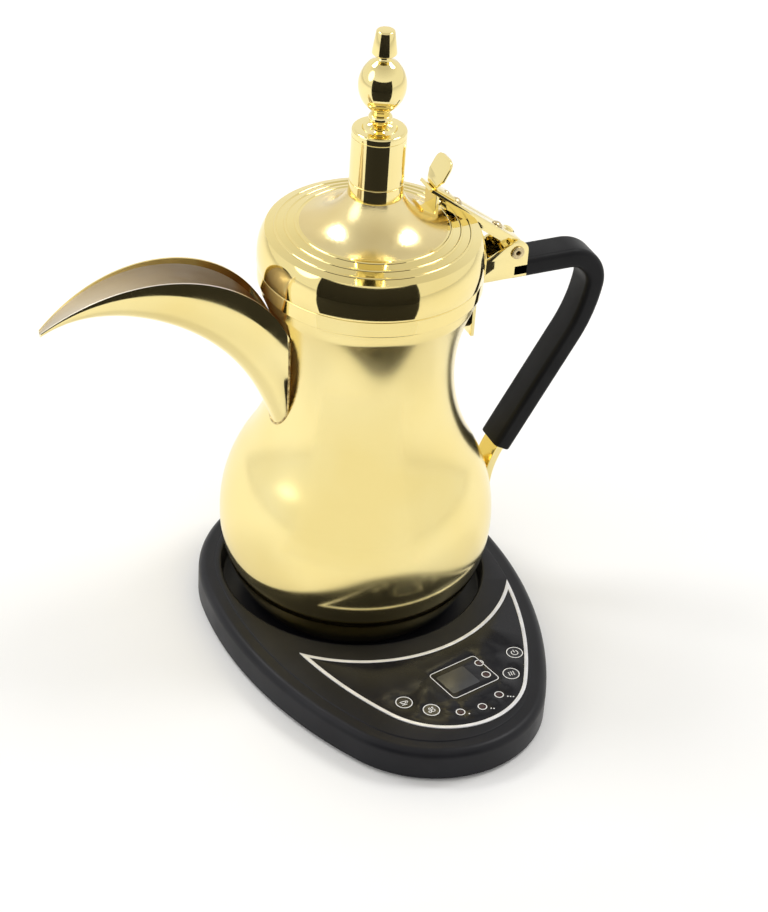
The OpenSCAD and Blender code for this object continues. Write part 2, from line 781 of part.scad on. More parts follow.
module pot_connector() {
  z = conn_top_z + 0.6;
  color(black) difference() {
    translate([0, 0, cup_top_z]) cylinder(r = conn_r + 2, h = 3.6, $fn = 96);
    cylinder(r = post_r + slip_gap, h = post_top_z + 0.4, $fn = 48);
  }
  color(black) difference() {
    translate([0, 0, z])
      cylinder(r = post_r + 3 - join_gap, h = cup_top_z - z + 0.5, $fn = 64);
    cylinder(r = post_r + slip_gap, h = post_top_z + 0.4, $fn = 48);
  }
}

// ---- handle ----

module ear_outline() {
  edge = hinge_x + 5.5;
  difference() {
    union() {
      polygon([[back_x, bracket_low_z], [edge, bracket_low_z], [edge, hinge_z],
        [hinge_x - 2.5, hinge_z + 5], [back_x, bracket_top_z]]);
      translate([hinge_x, hinge_z]) circle(5.5, $fn = 64);
    }
    translate([hinge_x, hinge_z]) circle(pin_r + join_gap, $fn = 48);
  }
}

module hinge_bracket() {
  color(gold) {
    for (s = [-1, 1]) translate([0, s * (ear_y + ear_t / 2) + ear_t / 2, 0])
      rotate([90, 0, 0]) linear_extrude(ear_t) ear_outline();
    difference() {
      translate([back_x, -ear_y, bracket_low_z]) cube([grip_x - 1 - back_x, 2 * ear_y, ear_t]);
      translate([bar_rivet_x, 0, bracket_low_z - 1])
        cylinder(r = bar_rivet_r + join_gap, h = 5, $fn = 32);
    }
    difference() {
      translate([back_x, -ear_y, bracket_low_z])
        cube([ear_t, 2 * ear_y, bracket_top_z - bracket_low_z]);
      translate([bar_x - 1, -ear_y - 1, bracket_low_z + ear_t]) cube([50, 2 * ear_y + 2, bar_t + 0.1]);
    }
    difference() {
      translate([back_x, -leg_half, leg_low_z])
        cube([ear_t, 2 * leg_half, bracket_low_z - leg_low_z + 0.01]);
      translate([back_x - 1, 0, leg_rivet_z]) rotate([0, 90, 0])
        cylinder(r = leg_rivet_r + join_gap, h = 5, $fn = 32);
    }
  }
}

module bracket_rivet() {
  x0 = waist_at(leg_rivet_z) + join_gap + 0.05;
  color(steel) translate([0, 0, leg_rivet_z]) rotate([0, 90, 0]) {
    translate([0, 0, x0]) cylinder(r = leg_rivet_r, h = back_x + ear_t - x0, $fn = 32);
    translate([0, 0, back_x + ear_t]) dome(3.3, 1.8);
  }
}

// a domed rivet head with its flat face at z = 0
module dome(r, h) {
  ball = (r * r + h * h) / (2 * h);
  rotate_extrude($fn = 48) intersection() {
    translate([0, h - ball]) circle(ball, $fn = 64);
    square([r, h]);
  }
}

module bracket_spacer() {
  color(black) difference() {
    translate([0, 0, leg_rivet_z]) rotate([0, 90, 0])
      cylinder(r = 2.9, h = back_x - 0.01, $fn = 32);
    translate([0, 0, leg_rivet_z]) rotate([0, 90, 0])
      cylinder(r = leg_rivet_r + join_gap, h = big, $fn = 32);
    pot_solid(-join_gap);
  }
}

module hinge_pin() {
  half = ear_out + 0.05;
  color(brass) translate([hinge_x, 0, hinge_z]) rotate([90, 0, 0]) difference() {
    union() {
      translate([0, 0, -half]) cylinder(r = pin_r, h = 2 * half, $fn = 48);
      for (s = [-1, 1]) translate([0, 0, s * (half + 0.35) - 0.35]) cylinder(r = 3.1, h = 0.7, $fn = 48);
    }
    translate([0, 0, -half - 2]) cylinder(r = 1.1, h = 2 * half + 4, $fn = 32);
  }
}

module handle_strap() {
  color(gold) difference() {
    union() {
      along_line([bar_x, grip_z], [1, 0], bend_x - bar_x + lap) bar_section(-nest);
      along_arc(bend_c, bend_r, 90, bend_end - 90) bar_section();
      along_arc(sweep_c, sweep_r, bend_end, sweep_end - bend_end, lap) bar_section(-nest);
      along_line(sweep_p, run_dir, run_len) bar_section();
      along_arc(foot_c, foot_r, sweep_end + 180, foot_turn, lap) bar_section(-nest);
    }
    pot_solid(-join_gap);
    translate([bar_rivet_x, 0, grip_z - 5])
      cylinder(r = bar_rivet_r + join_gap, h = 10, $fn = 32);
  }
}

module handle_rivet() {
  color(steel) translate([bar_rivet_x, 0, bracket_low_z]) {
    cylinder(r = bar_rivet_r, h = bar_t + ear_t, $fn = 32);
    translate([0, 0, bar_t + ear_t - nest]) dome(2.6, 1.1);
    mirror([0, 0, 1]) dome(2.6, 1.1);
  }
}

module grip_sleeve() {
  color(rubber) {
    along_line([grip_x, grip_z], [1, 0], bend_x - grip_x + lap) grip_section(-nest);
    along_arc(bend_c, bend_r, 90, bend_end - 90) grip_section();
    along_arc(sweep_c, sweep_r, bend_end, sweep_end - bend_end, lap) grip_section(-nest);
    along_line(sweep_p, run_dir, run_len) grip_section();
  }
}

// =============================== lid ===============================

// the three rolled rings between the shoulder and the cone
module lid_rings() {
  for (r = [cone_r + 1, cone_r + 5.5, cone_r + 10]) {
    t = (shoulder_r - r) / (shoulder_r - cone_r);
    translate([r, mix(shoulder_z, cone_z, t) - 0.25]) circle(0.7, $fn = 24);
  }
}

module lid_shell() {
  color(gold) rotate_extrude($fn = 144) difference() {
    union() {
      lid_profile();
      lid_rings();
    }
    lid_profile(lid_wall);
    translate([0, lid_z - 1]) square([lid_r - lid_wall, 2]);
    translate([0, cone_z]) square([neck_r - 3, big]);
  }
}

liner_r = mouth_r - pot_wall - 1.4;

module lid_liner() {
  z1 = lid_z + 3;
  color(steel) difference() {
    union() {
      translate([0, 0, rim_z - liner_h]) cylinder(r = liner_r, h = z1 - rim_z + liner_h, $fn = 144);
      translate([0, 0, z1 - 1]) cylinder(r = lid_r - lid_wall - join_gap, h = 1, $fn = 144);
    }
    translate([0, 0, rim_z - liner_h + 0.8]) cylinder(r = liner_r - 0.8, h = big, $fn = 144);
  }
}

module lid_gasket() {
  color(rubber) translate([0, 0, lid_z + 0.2]) tube(liner_r + join_gap, lid_r - lid_wall - 0.4, 1.7);
}

module column_tube() {
  color(gold) difference() {
    union() {
      translate([0, 0, neck_z]) cylinder(r = column_r, h = column_h - 3, $fn = 96);
      translate([0, 0, neck_z - 2]) cylinder(r = neck_r - 3 - join_gap, h = 3, $fn = 96);
    }
    translate([0, 0, neck_z - 3]) cylinder(r = column_r - 4, h = big, $fn = 96);
    // the groove above the foot of the column
    translate([0, 0, neck_z + 6.5]) rotate_extrude($fn = 96) translate([column_r, 0]) circle(0.5, $fn = 24);
  }
}

module column_cap() {
  z0 = column_top_z - 3;
  color(gold) rotate_extrude($fn = 96) difference() {
    union() {
      translate([0, z0]) square([column_r, 2]);
      translate([0, z0]) square([column_r - 1.2, 3.2]);
      translate([column_r - 1.2, z0 + 2]) circle(1.2, $fn = 32);
      translate([0, z0 - 3]) square([column_r - 4 - join_gap, 3.01]);
    }
    translate([3.6, column_top_z + 1.6]) intersection() {
      translate([1, 0]) circle(3.4, $fn = 48);
      square([10, 10], center = true);
    }
    translate([0, z0 - 4]) square([2, 10]);
  }
}

finial_z = column_top_z + 0.2;

module finial() {
  r = finial_r;
  curve = 14;
  bulb_z = finial_z + 20.3;
  half = sqrt(curve * curve - pow(curve - r + 4.4, 2));
  color(gold) rotate_extrude($fn = 96) {
    translate([0, finial_z - 6]) square([1.95, 8]);
    translate([0, finial_z]) square([3, 5]);
    translate([0, finial_z + 3.2]) square([3.4, 3.6]);
    translate([3.4, finial_z + 5]) circle(1.8, $fn = 32);
    intersection() {
      translate([r - curve, bulb_z]) circle(curve, $fn = 120);
      translate([0, bulb_z - half]) square([big, 2 * half]);
    }
    translate([0, finial_z + 6]) square([4.4, bulb_z - half - finial_z - 5.9]);
    translate([0, bulb_z + half - 0.1]) square([2.7, 5]);
    polygon([[0, bulb_z + half + 2.6], [4.9, bulb_z + half + 2.6], [5.4, bulb_z + half + 3.4],
      [4.1, bulb_z + half + 12.6], [3.4, bulb_z + half + 13.4], [0, bulb_z + half + 13.6]]);
  }
}

module lid_strap() {
  lip_z = knuckle_r - strap_t - strap_lip;
  color(gold) difference() {
    on_strap() {
      translate([0, -strap_w / 2, knuckle_r - strap_t]) cube([strap_len, strap_w, strap_t]);
      for (s = [-1, 1]) translate([8, s * (strap_w / 2 - 0.6) - 0.6, lip_z])
        cube([strap_len - 16, 1.2, strap_lip + 0.01]);
      rotate([90, 0, 0]) translate([0, 0, -strap_w / 2])
        cylinder(r = knuckle_r, h = strap_w, $fn = 48);
    }
    on_strap() {
      rotate([90, 0, 0]) translate([0, 0, -strap_w])
        cylinder(r = pin_r + pin_fit, h = 2 * strap_w, $fn = 48);
      for (x = rivet_at) translate([x, 0, 0]) cylinder(r = 1.5 + join_gap, h = 10, $fn = 32);
      translate([thumb_at, 0, 0]) cylinder(r = 1 + join_gap, h = 10, $fn = 32);
    }
    rotate_extrude($fn = 144) lid_profile(-join_gap);
  }
}

// the tab under the strap's upper end, with a thin flange that follows the lid
module strap_foot() {
  x0 = strap_end_x + 2;
  flange = 6;
  color(gold) difference() {
    union() {
      translate([x0, -4.5, cone_z]) cube([strap_t, 9, strap_end_z - cone_z]);
      translate([x0 - flange, -5.5, cone_z]) cube([flange + strap_t, 11, strap_end_z - cone_z]);
    }
    on_strap() translate([-5, -20, knuckle_r - strap_t]) cube([90, 40, 20]);
    rotate_extrude($fn = 144) lid_profile(-join_gap);
    difference() {
      translate([x0 - 20, -10, cone_z - 5]) cube([20, 20, 40]);
      rotate_extrude($fn = 144) lid_profile(-1.3);
    }
  }
}

thumb_len = 15;
thumb_lean = 28;

module thumb_plate() {
  tip = thumb_len - 4;
  color(gold) difference() {
    on_strap() {
      translate([thumb_x, 0, knuckle_r]) rotate([0, strap_slope - thumb_lean - 90, 0])
        linear_extrude(strap_t)
          polygon([[0, -7], [0, 7], [tip, 7.4], [thumb_len, 4], [thumb_len, -4], [tip, -7.4]]);
      translate([thumb_at - 3, -4.5, knuckle_r]) cube([thumb_x - thumb_at + 2, 9, thumb_foot_t]);
    }
    on_strap() translate([thumb_at, 0, 0]) cylinder(r = 1 + join_gap, h = knuckle_r + 5, $fn = 32);
  }
}

rivet_root = 0.3;     // how far a shank runs up into its head

module strap_rivets() {
  color(brass) on_strap() for (x = rivet_at) translate([x, 0, knuckle_r]) dome(2.7, 1.5);
  color(brass) difference() {
    on_strap() for (x = rivet_at) translate([x, 0, knuckle_r - strap_t - 1]) {
      cylinder(r = 1.5, h = strap_t + 1 + rivet_root, $fn = 32);
      cylinder(r = 2.4, h = 1, $fn = 32);
    }
    rotate_extrude($fn = 144) lid_profile(-join_gap);
  }
}

module thumb_rivet() {
  low_z = knuckle_r - strap_t - 0.6;
  color(brass) on_strap() {
    translate([thumb_at, 0, knuckle_r + thumb_foot_t]) dome(1.6, 0.9);
    translate([thumb_at, 0, low_z])
      cylinder(r = 1, h = knuckle_r + thumb_foot_t + rivet_root - low_z, $fn = 32);
    translate([thumb_at, 0, low_z]) cylinder(r = 1.5, h = 0.6, $fn = 32);
  }
}

base_shell();
base_cover();
anti_slip_ring();
front_pads();
cover_screws();
panel_overlay();
panel_border();
display_lens();
display_module();
status_leds();
control_board();
tact_switches();
power_board();
base_connector();
contact_rings();
cord_gland();
button_on();
button_warm();
button_boil();
button_brew();
connector_post();
pot_shell();
collar_band();
spout();
spout_strainer();
pot_floor();
heating_element();
thermostat();
foot_seal();
foot_cup();
pot_connector();
hinge_bracket();
bracket_rivet();
bracket_spacer();
hinge_pin();
handle_strap();
handle_rivet();
grip_sleeve();
lid_shell();
lid_liner();
lid_gasket();
column_tube();
column_cap();
finial();
lid_strap();
strap_foot();
thumb_plate();
strap_rivets();
thumb_rivet();
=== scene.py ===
# %% [markdown]
# # An electric dallah
# A dallah is the Arab coffee pot: a bellied pot with a long beak of a spout, a domed lid with
# a tall finial, and a strap handle. This one is electric. Its pot stands on a black power base
# with a small control panel. The metal is polished, brass-coloured sheet.
#
# The lesson builds the looks of the pot around a frame that is already designed: the frame
# holds every part at its true place and size. Each visible part is made again here with finer
# curves and rounded edges, and rides on the same moving body as the part that it stands for.

# %% The frame
from math import asin, atan2, cos, degrees, hypot, pi, radians, sin, sqrt

import bmesh
import bpy
from mathutils import Matrix, Vector


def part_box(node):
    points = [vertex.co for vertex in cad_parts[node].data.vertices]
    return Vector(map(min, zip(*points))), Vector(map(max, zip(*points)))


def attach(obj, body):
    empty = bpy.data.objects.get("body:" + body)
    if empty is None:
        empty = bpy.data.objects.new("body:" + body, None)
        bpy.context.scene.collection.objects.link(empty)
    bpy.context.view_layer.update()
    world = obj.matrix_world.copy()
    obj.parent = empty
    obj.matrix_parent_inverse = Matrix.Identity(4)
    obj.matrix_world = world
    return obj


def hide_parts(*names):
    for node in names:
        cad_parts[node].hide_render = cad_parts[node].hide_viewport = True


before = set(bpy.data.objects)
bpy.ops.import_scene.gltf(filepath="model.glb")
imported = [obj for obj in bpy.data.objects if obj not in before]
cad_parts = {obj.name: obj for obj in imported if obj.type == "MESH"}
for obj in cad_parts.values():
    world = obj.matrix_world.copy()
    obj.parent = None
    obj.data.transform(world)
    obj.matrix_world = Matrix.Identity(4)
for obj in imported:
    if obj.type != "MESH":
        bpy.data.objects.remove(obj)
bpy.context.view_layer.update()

# %% [markdown]
# The pieces are drawn in millimetres, because that is how a metalworker thinks, and are
# brought to metres once, at the end of each piece. Sizes are read from the frame's boxes where
# a box can give them. What a box can't tell, such as the radius of a curve, is a named value.

# %% Reading sizes from the frame
MM = 0.001


def low_of(node):
    """Lowest corner of a part of the frame, in millimetres."""
    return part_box(node)[0] / MM


def high_of(node):
    """Highest corner of a part of the frame, in millimetres."""
    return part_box(node)[1] / MM


rim_z = high_of("pot_shell").z
print("the pot's rim is", round(rim_z, 1), "mm above the table")

# %% [markdown]
# # Finishes
# A finish is more than a colour. Polished brass is never even: fingers dull it in patches, and
# the sheet waves a little where it was spun. So every finish here starts as one Principled
# shader, and grows textures that change its colour, its roughness and the lie of its surface.
# The class below keeps that short. Object coordinates are used, so a pattern stays put on its
# piece, and one scale means the same size of grain everywhere.

# %% A material that grows textures
class Finish:
    def __init__(self, name, colour, metallic=0.0, roughness=0.5):
        self.material = bpy.data.materials.new(name)
        self.material.use_nodes = True
        tree = self.material.node_tree
        self.nodes, self.links = tree.nodes, tree.links
        self.shader = self.nodes["Principled BSDF"]
        self.place = self.nodes.new("ShaderNodeTexCoord")
        self.last_bump = None
        self.shader.inputs["Base Color"].default_value = (*colour, 1)
        self.shader.inputs["Metallic"].default_value = metallic
        self.shader.inputs["Roughness"].default_value = roughness
        self.material.diffuse_color = (*colour, 1)

    def noise(self, scale, detail=3.0, stretch=(1, 1, 1), on="Object"):
        """Cloudy noise; scale counts the clouds in a metre, or in the whole UV map."""
        mapping = self.nodes.new("ShaderNodeMapping")
        mapping.inputs["Scale"].default_value = stretch
        cloud = self.nodes.new("ShaderNodeTexNoise")
        cloud.inputs["Scale"].default_value = scale
        cloud.inputs["Detail"].default_value = detail
        self.links.new(self.place.outputs[on], mapping.inputs["Vector"])
        self.links.new(mapping.outputs["Vector"], cloud.inputs["Vector"])
        return cloud.outputs["Fac"]

    def between(self, value, low, high):
        """The middle half of a noise, spread from low to high."""
        spread = self.nodes.new("ShaderNodeMapRange")
        spread.inputs["From Min"].default_value = 0.3
        spread.inputs["From Max"].default_value = 0.7
        spread.inputs["To Min"].default_value = low
        spread.inputs["To Max"].default_value = high
        self.links.new(value, spread.inputs["Value"])
        return spread.outputs["Result"]

    def by_height(self, from_mm, to_mm, low, high):
        """A value that changes smoothly from low to high between two heights above the table."""
        split = self.nodes.new("ShaderNodeSeparateXYZ")
        rise = self.nodes.new("ShaderNodeMapRange")
        rise.interpolation_type = "SMOOTHSTEP"
        rise.inputs["From Min"].default_value = from_mm * MM
        rise.inputs["From Max"].default_value = to_mm * MM
        rise.inputs["To Min"].default_value = low
        rise.inputs["To Max"].default_value = high
        self.links.new(self.place.outputs["Object"], split.inputs[0])
        self.links.new(split.outputs["Z"], rise.inputs["Value"])
        return rise.outputs["Result"]

    def total(self, first, second):
        add = self.nodes.new("ShaderNodeMath")
        self.links.new(first, add.inputs[0])
        self.links.new(second, add.inputs[1])
        return add.outputs[0]

    def ramp(self, value, stops):
        """Colours by value; stops are (position, colour)."""
        ramp = self.nodes.new("ShaderNodeValToRGB")
        points = ramp.color_ramp.elements
        while len(points) < len(stops):
            points.new(0.5)
        for point, (position, colour) in zip(points, stops):
            point.position = position
            point.color = (*colour, 1)
        self.links.new(value, ramp.inputs["Fac"])
        return ramp.outputs["Color"]

    def colour(self, value, stops):
        self.links.new(self.ramp(value, stops), self.shader.inputs["Base Color"])
        return self

    def rough(self, value, low, high):
        self.links.new(self.between(value, low, high), self.shader.inputs["Roughness"])
        return self

    def bump(self, value, strength, height_mm):
        """Raises the surface where value is high; bumps add up."""
        node = self.nodes.new("ShaderNodeBump")
        node.inputs["Strength"].default_value = strength
        node.inputs["Distance"].default_value = height_mm * MM
        self.links.new(value, node.inputs["Height"])
        if self.last_bump:
            self.links.new(self.last_bump, node.inputs["Normal"])
        self.last_bump = node.outputs["Normal"]
        self.links.new(self.last_bump, self.shader.inputs["Normal"])
        return self


# %% [markdown]
# **Polished gold** covers the pot, the lid's skirt and all the fittings. It is brass sheet with
# a pale, bright plating. The roughness is low but patchy, from wiping and handling, and a slow
# wave a hundredth of a millimetre high makes the reflections swim as they do on spun metal.
# The **body** has the same plating, but its broad side is only buffed, so it glows softly, while
# the turned-in foot keeps a mirror that picks up the black base.
# **Satin gold** is the same plating over a fine orange peel, left on the lid's cone, and
# **braze** is the rough, darker metal of the spout's seam.

# %% Gold
GOLD_PALE = (0.93, 0.80, 0.39)
GOLD_WARM = (0.90, 0.74, 0.31)


def plated(name):
    """The plating's colour and the sheet's slow wave, which all the bright gold shares."""
    made = Finish(name, GOLD_PALE, metallic=1.0)
    made.colour(made.noise(14), [(0.35, GOLD_WARM), (0.65, GOLD_PALE)])
    return made.bump(made.noise(30, 1), 0.25, 0.04)


gold = plated("gold_polished")
gold.rough(gold.noise(55, 6), 0.03, 0.085)
gold.bump(gold.noise(2600, 2, (1, 1, 0.15)), 0.05, 0.01)

mirror_below, buffed_above = 28, 54
body_gold = plated("gold_body")
buffing = body_gold.total(body_gold.by_height(mirror_below, buffed_above, 0.05, 0.2),
                          body_gold.between(body_gold.noise(40, 5), -0.015, 0.03))
body_gold.links.new(buffing, body_gold.shader.inputs["Roughness"])

satin = Finish("gold_satin", GOLD_PALE, metallic=1.0)
satin.colour(satin.noise(20), [(0.35, (0.80, 0.64, 0.30)), (0.65, (0.90, 0.77, 0.42))])
satin.rough(satin.noise(90, 5), 0.16, 0.26)
satin.bump(satin.noise(950, 3), 0.45, 0.08)

braze = Finish("gold_braze", (0.55, 0.42, 0.20), metallic=1.0)
braze.colour(braze.noise(300, 4), [(0.35, (0.24, 0.16, 0.07)), (0.6, (0.72, 0.58, 0.28))])
braze.rough(braze.noise(500, 4), 0.2, 0.4)
braze.bump(braze.noise(700, 3), 0.5, 0.15)
print("gold finishes:", gold.material.name, body_gold.material.name, satin.material.name)

# %% [markdown]
# **Steel** shows inside the pot and in the spout's channel, where the sheet isn't plated. It is
# brushed, so its grain is a noise stretched along the brushing. In the channel the grain runs
# down the spout, and welding heat has left straw and brown tints near the root, so that finish
# follows the spout's own UV map: U runs from root to tip and V runs across.

# %% Steel
steel = Finish("steel_brushed", (0.62, 0.59, 0.55), metallic=1.0)
steel.colour(steel.noise(25), [(0.3, (0.50, 0.47, 0.43)), (0.7, (0.68, 0.66, 0.62))])
steel.rough(steel.noise(500, 4, (1, 1, 12)), 0.22, 0.38)
steel.bump(steel.noise(500, 4, (1, 1, 12)), 0.12, 0.02)

channel = Finish("steel_channel", (0.60, 0.56, 0.50), metallic=1.0)
streaks = channel.noise(1.0, 5, (14, 90, 1), on="UV")
tints = channel.noise(1.0, 2, (5, 7, 1), on="UV")
down_spout = channel.nodes.new("ShaderNodeSeparateXYZ")
channel.links.new(channel.place.outputs["UV"], down_spout.inputs[0])
heat = channel.nodes.new("ShaderNodeMath")
heat.operation = "MULTIPLY_ADD"
heat.inputs[1].default_value = 0.35
channel.links.new(tints, heat.inputs[0])
channel.links.new(down_spout.outputs["X"], heat.inputs[2])
channel.colour(heat.outputs[0], [(0.26, (0.50, 0.25, 0.09)), (0.38, (0.66, 0.46, 0.26)),
                                 (0.48, (0.74, 0.68, 0.63)), (0.95, (0.82, 0.75, 0.62))])
channel.rough(streaks, 0.34, 0.52)
channel.bump(streaks, 0.35, 0.06)
print("steel finishes:", steel.material.name, channel.material.name)

# %% [markdown]
# **Black plastic**, **rubber** and the **panel's gloss film** are all nearly black, so their
# difference is in how they shine. The moulding has a fine spark-eroded grain and a broad soft
# shine. The grip is softer and duller. The film is like dark glass, with
# faint wipe marks. None is pure black, because real plastics aren't. Such a finish is always
# the same recipe: clouds between two tones, patchy roughness and a fine grain. So one function,
# `coat`, mixes it. Each noise is given as its scale and its detail, and then what it drives.

# %% Blacks


def coat(name, dark, light, tone, rough, grain, metallic=0.0, shine=0.5, clouds=(0.3, 0.7)):
    """A finish between two tones; rough is (scale, detail, low, high) and grain is
    (scale, detail, strength, height in mm)."""
    middle = [(a + b) / 2 for a, b in zip(dark, light)]
    made = Finish(name, middle, metallic)
    made.shader.inputs["Specular IOR Level"].default_value = shine
    made.colour(made.noise(*tone), list(zip(clouds, (dark, light))))
    made.rough(made.noise(*rough[:2]), *rough[2:])
    return made.bump(made.noise(*grain[:2]), *grain[2:])


moulding = coat("black_moulding", (0.008, 0.008, 0.010), (0.013, 0.013, 0.016), (35,),
                (60, 5, 0.34, 0.46), (2200, 2, 0.22, 0.03), shine=0.2)
rubber = coat("black_rubber", (0.005, 0.005, 0.006), (0.009, 0.009, 0.010), (45,),
              (70, 5, 0.36, 0.52), (1500, 3, 0.2, 0.04), shine=0.15)
film = coat("panel_gloss", (0.008, 0.008, 0.010), (0.014, 0.014, 0.017), (60,),
            (120, 6, 0.18, 0.24), (180, 2, 0.05, 0.02), shine=0.2)
key_black = coat("key_black", (0.011, 0.011, 0.013), (0.019, 0.019, 0.022), (300,),
                 (400, 4, 0.2, 0.32), (1500, 2, 0.08, 0.02))
seal = coat("seal_rubber", (0.04, 0.04, 0.042), (0.06, 0.06, 0.062), (80,),
            (150, 4, 0.55, 0.7), (1200, 2, 0.2, 0.04))
print("black finishes:", [f.material.name for f in (moulding, rubber, film, key_black, seal)])

# %% [markdown]
# The small finishes: **silver foil** for the panel's border, white **ink** for its marks, bare
# **brass** for pins and contacts, the lamps' dark red lens, the liquid-crystal window, and the
# greens and whites of the electrics that hide inside.

# %% Small finishes
silver = coat("silver_foil", (0.72, 0.72, 0.74), (0.88, 0.88, 0.90), (150,),
              (400, 4, 0.28, 0.42), (900, 2, 0.12, 0.02), metallic=0.35)
ink = coat("ink_white", (0.78, 0.78, 0.78), (0.92, 0.92, 0.92), (900,),
           (700, 3, 0.45, 0.6), (2500, 2, 0.1, 0.01))
brass = coat("brass_bare", (0.50, 0.40, 0.22), (0.80, 0.66, 0.38), (120,),
             (500, 5, 0.2, 0.36), (1500, 3, 0.15, 0.02), metallic=1.0)
lamp = coat("lamp_lens", (0.028, 0.010, 0.010), (0.05, 0.018, 0.016), (800,),
            (900, 3, 0.12, 0.2), (1200, 2, 0.05, 0.01))
crystal = coat("display_glass", (0.024, 0.025, 0.030), (0.036, 0.038, 0.044), (90,),
               (200, 3, 0.14, 0.22), (500, 2, 0.04, 0.01))
circuit = coat("circuit_green", (0.02, 0.12, 0.05), (0.05, 0.22, 0.10), (260, 5),
               (300, 3, 0.3, 0.5), (600, 3, 0.3, 0.05), clouds=(0.35, 0.65))
ceramic = coat("ceramic_white", (0.66, 0.65, 0.62), (0.80, 0.79, 0.76), (200,),
               (300, 3, 0.45, 0.65), (1100, 2, 0.15, 0.03))
print("materials so far:", len(bpy.data.materials))

# %% [markdown]
# # Shaping helpers
# Nearly everything on a coffee pot is turned, swept or cut from sheet, so three helpers make
# most pieces. `turned` spins an outline round the pot's axis. `swept` lays a grid of faces
# along a path and round a section, then joins its edges. `cut_sheet` fills flat loops, holes
# and all, and gives them thickness. The fourth, `softened`, rounds sharp edges a little:
# no real edge is perfectly sharp, and the thin highlight along it is what makes metal look real.

# %% Outlines, turning and softening


def arc(cx, cy, r, start, end, count):
    """Points along a circle's arc; angles in degrees."""
    turn = [radians(start + (end - start) * i / count) for i in range(count + 1)]
    return [(cx + r * cos(a), cy + r * sin(a)) for a in turn]


def turned(outline, steps=180, closed=True):
    """Spins an outline of (radius, height) points once round Z."""
    bm = bmesh.new()
    verts = [bm.verts.new((r, 0, z)) for r, z in outline]
    edges = [bm.edges.new(pair) for pair in zip(verts, verts[1:])]
    if closed:
        edges.append(bm.edges.new((verts[-1], verts[0])))
    bmesh.ops.spin(bm, geom=verts + edges, cent=(0, 0, 0), axis=(0, 0, 1), dvec=(0, 0, 0),
                   angle=2 * pi, steps=steps, use_merge=True)
    bmesh.ops.remove_doubles(bm, verts=bm.verts, dist=0.001)
    bmesh.ops.recalc_face_normals(bm, faces=bm.faces)
    return bm


def softened(bm, width, over=40, segments=2):
    """Rounds every edge that turns more than `over` degrees."""
    sharp = [e for e in bm.edges if len(e.link_faces) == 2 and e.calc_face_angle(0) > radians(over)]
    bmesh.ops.bevel(bm, geom=sharp, offset=width, offset_type="OFFSET", segments=segments,
                    profile=0.5, affect="EDGES", clamp_overlap=True, material=-1)
    return bm


# %% [markdown]
# A sweep starts as a flat grid, because a grid brings its UV map along: U runs along the path
# and V goes round the section. Each point of the grid is then put in its place, the two edges
# where the section meets itself are merged, and the ends are filled.

# %% Sweeping and cutting sheet


def swept(rings, ends=True):
    """Joins rings of points, each a closed section, into one skin."""
    along, around = len(rings), len(rings[0]) + 1
    bm = bmesh.new()
    bm.loops.layers.uv.new("UVMap")
    bmesh.ops.create_grid(bm, x_segments=along - 1, y_segments=around - 1, size=0.5, calc_uvs=True)
    for v in bm.verts:
        i = round((v.co.x + 0.5) * (along - 1))
        j = round((v.co.y + 0.5) * (around - 1))
        v.co = rings[i][j % (around - 1)]
    bmesh.ops.remove_doubles(bm, verts=bm.verts, dist=0.0005)
    if ends:
        bmesh.ops.holes_fill(bm, edges=[e for e in bm.edges if e.is_boundary], sides=0)
    bmesh.ops.recalc_face_normals(bm, faces=bm.faces)
    return bm


def loop_edges(bm, loop, z):
    verts = [bm.verts.new((x, y, z)) for x, y in loop]
    return [bm.edges.new((verts[i - 1], verts[i])) for i in range(len(verts))]


def filled(bm, loops, z):
    """A flat face at height z; the first loop is its edge and the rest are holes."""
    edges = [e for loop in loops for e in loop_edges(bm, loop, z)]
    bmesh.ops.triangle_fill(bm, use_beauty=True, use_dissolve=False, edges=edges, normal=(0, 0, 1))


def walled(bm, loop, low, high):
    """An upright wall along a loop."""
    made = bmesh.ops.extrude_edge_only(bm, edges=loop_edges(bm, loop, low))
    verts = [v for v in made["geom"] if isinstance(v, bmesh.types.BMVert)]
    bmesh.ops.translate(bm, verts=verts, vec=(0, 0, high - low))


def cut_sheet(sheets, low, high, soft=0.0):
    """Flat sheet between two heights. Each sheet is a list of loops: an edge, then holes."""
    bm = bmesh.new()
    for loops in sheets:
        filled(bm, loops, low)
        filled(bm, loops, high)
        for loop in loops:
            walled(bm, loop, low, high)
    bmesh.ops.remove_doubles(bm, verts=bm.verts, dist=0.0005)
    bmesh.ops.recalc_face_normals(bm, faces=bm.faces)
    return softened(bm, soft) if soft else bm


def circle(cx, cy, r, count=48):
    return arc(cx, cy, r, 0, 360, count)[:-1]


# %% [markdown]
# `piece` ends every part the same way. It brings the mesh to metres, gives it its finishes and
# smooth shading with crisp corners, lets it ride on its moving body, and hides the parts of
# the frame that it stands for. Cast or bent sheet parts that the frame already shapes well are
# copied from it with `from_frame`, merged back from loose triangles, and softened.

# %% Finishing a piece


def mesh_from(bm, name, scale=1.0):
    """A mesh of what the bmesh holds; the bmesh is freed."""
    bmesh.ops.scale(bm, vec=(scale, scale, scale), verts=bm.verts)
    mesh = bpy.data.meshes.new(name)
    bm.to_mesh(mesh)
    bm.free()
    return mesh


def in_scene(name, data):
    made = bpy.data.objects.new(name, data)
    bpy.context.scene.collection.objects.link(made)
    return made


def add_to(bm, other):
    """Puts the faces of another bmesh into this one."""
    holder = mesh_from(other, "holder")
    bm.from_mesh(holder)
    bpy.data.meshes.remove(holder)


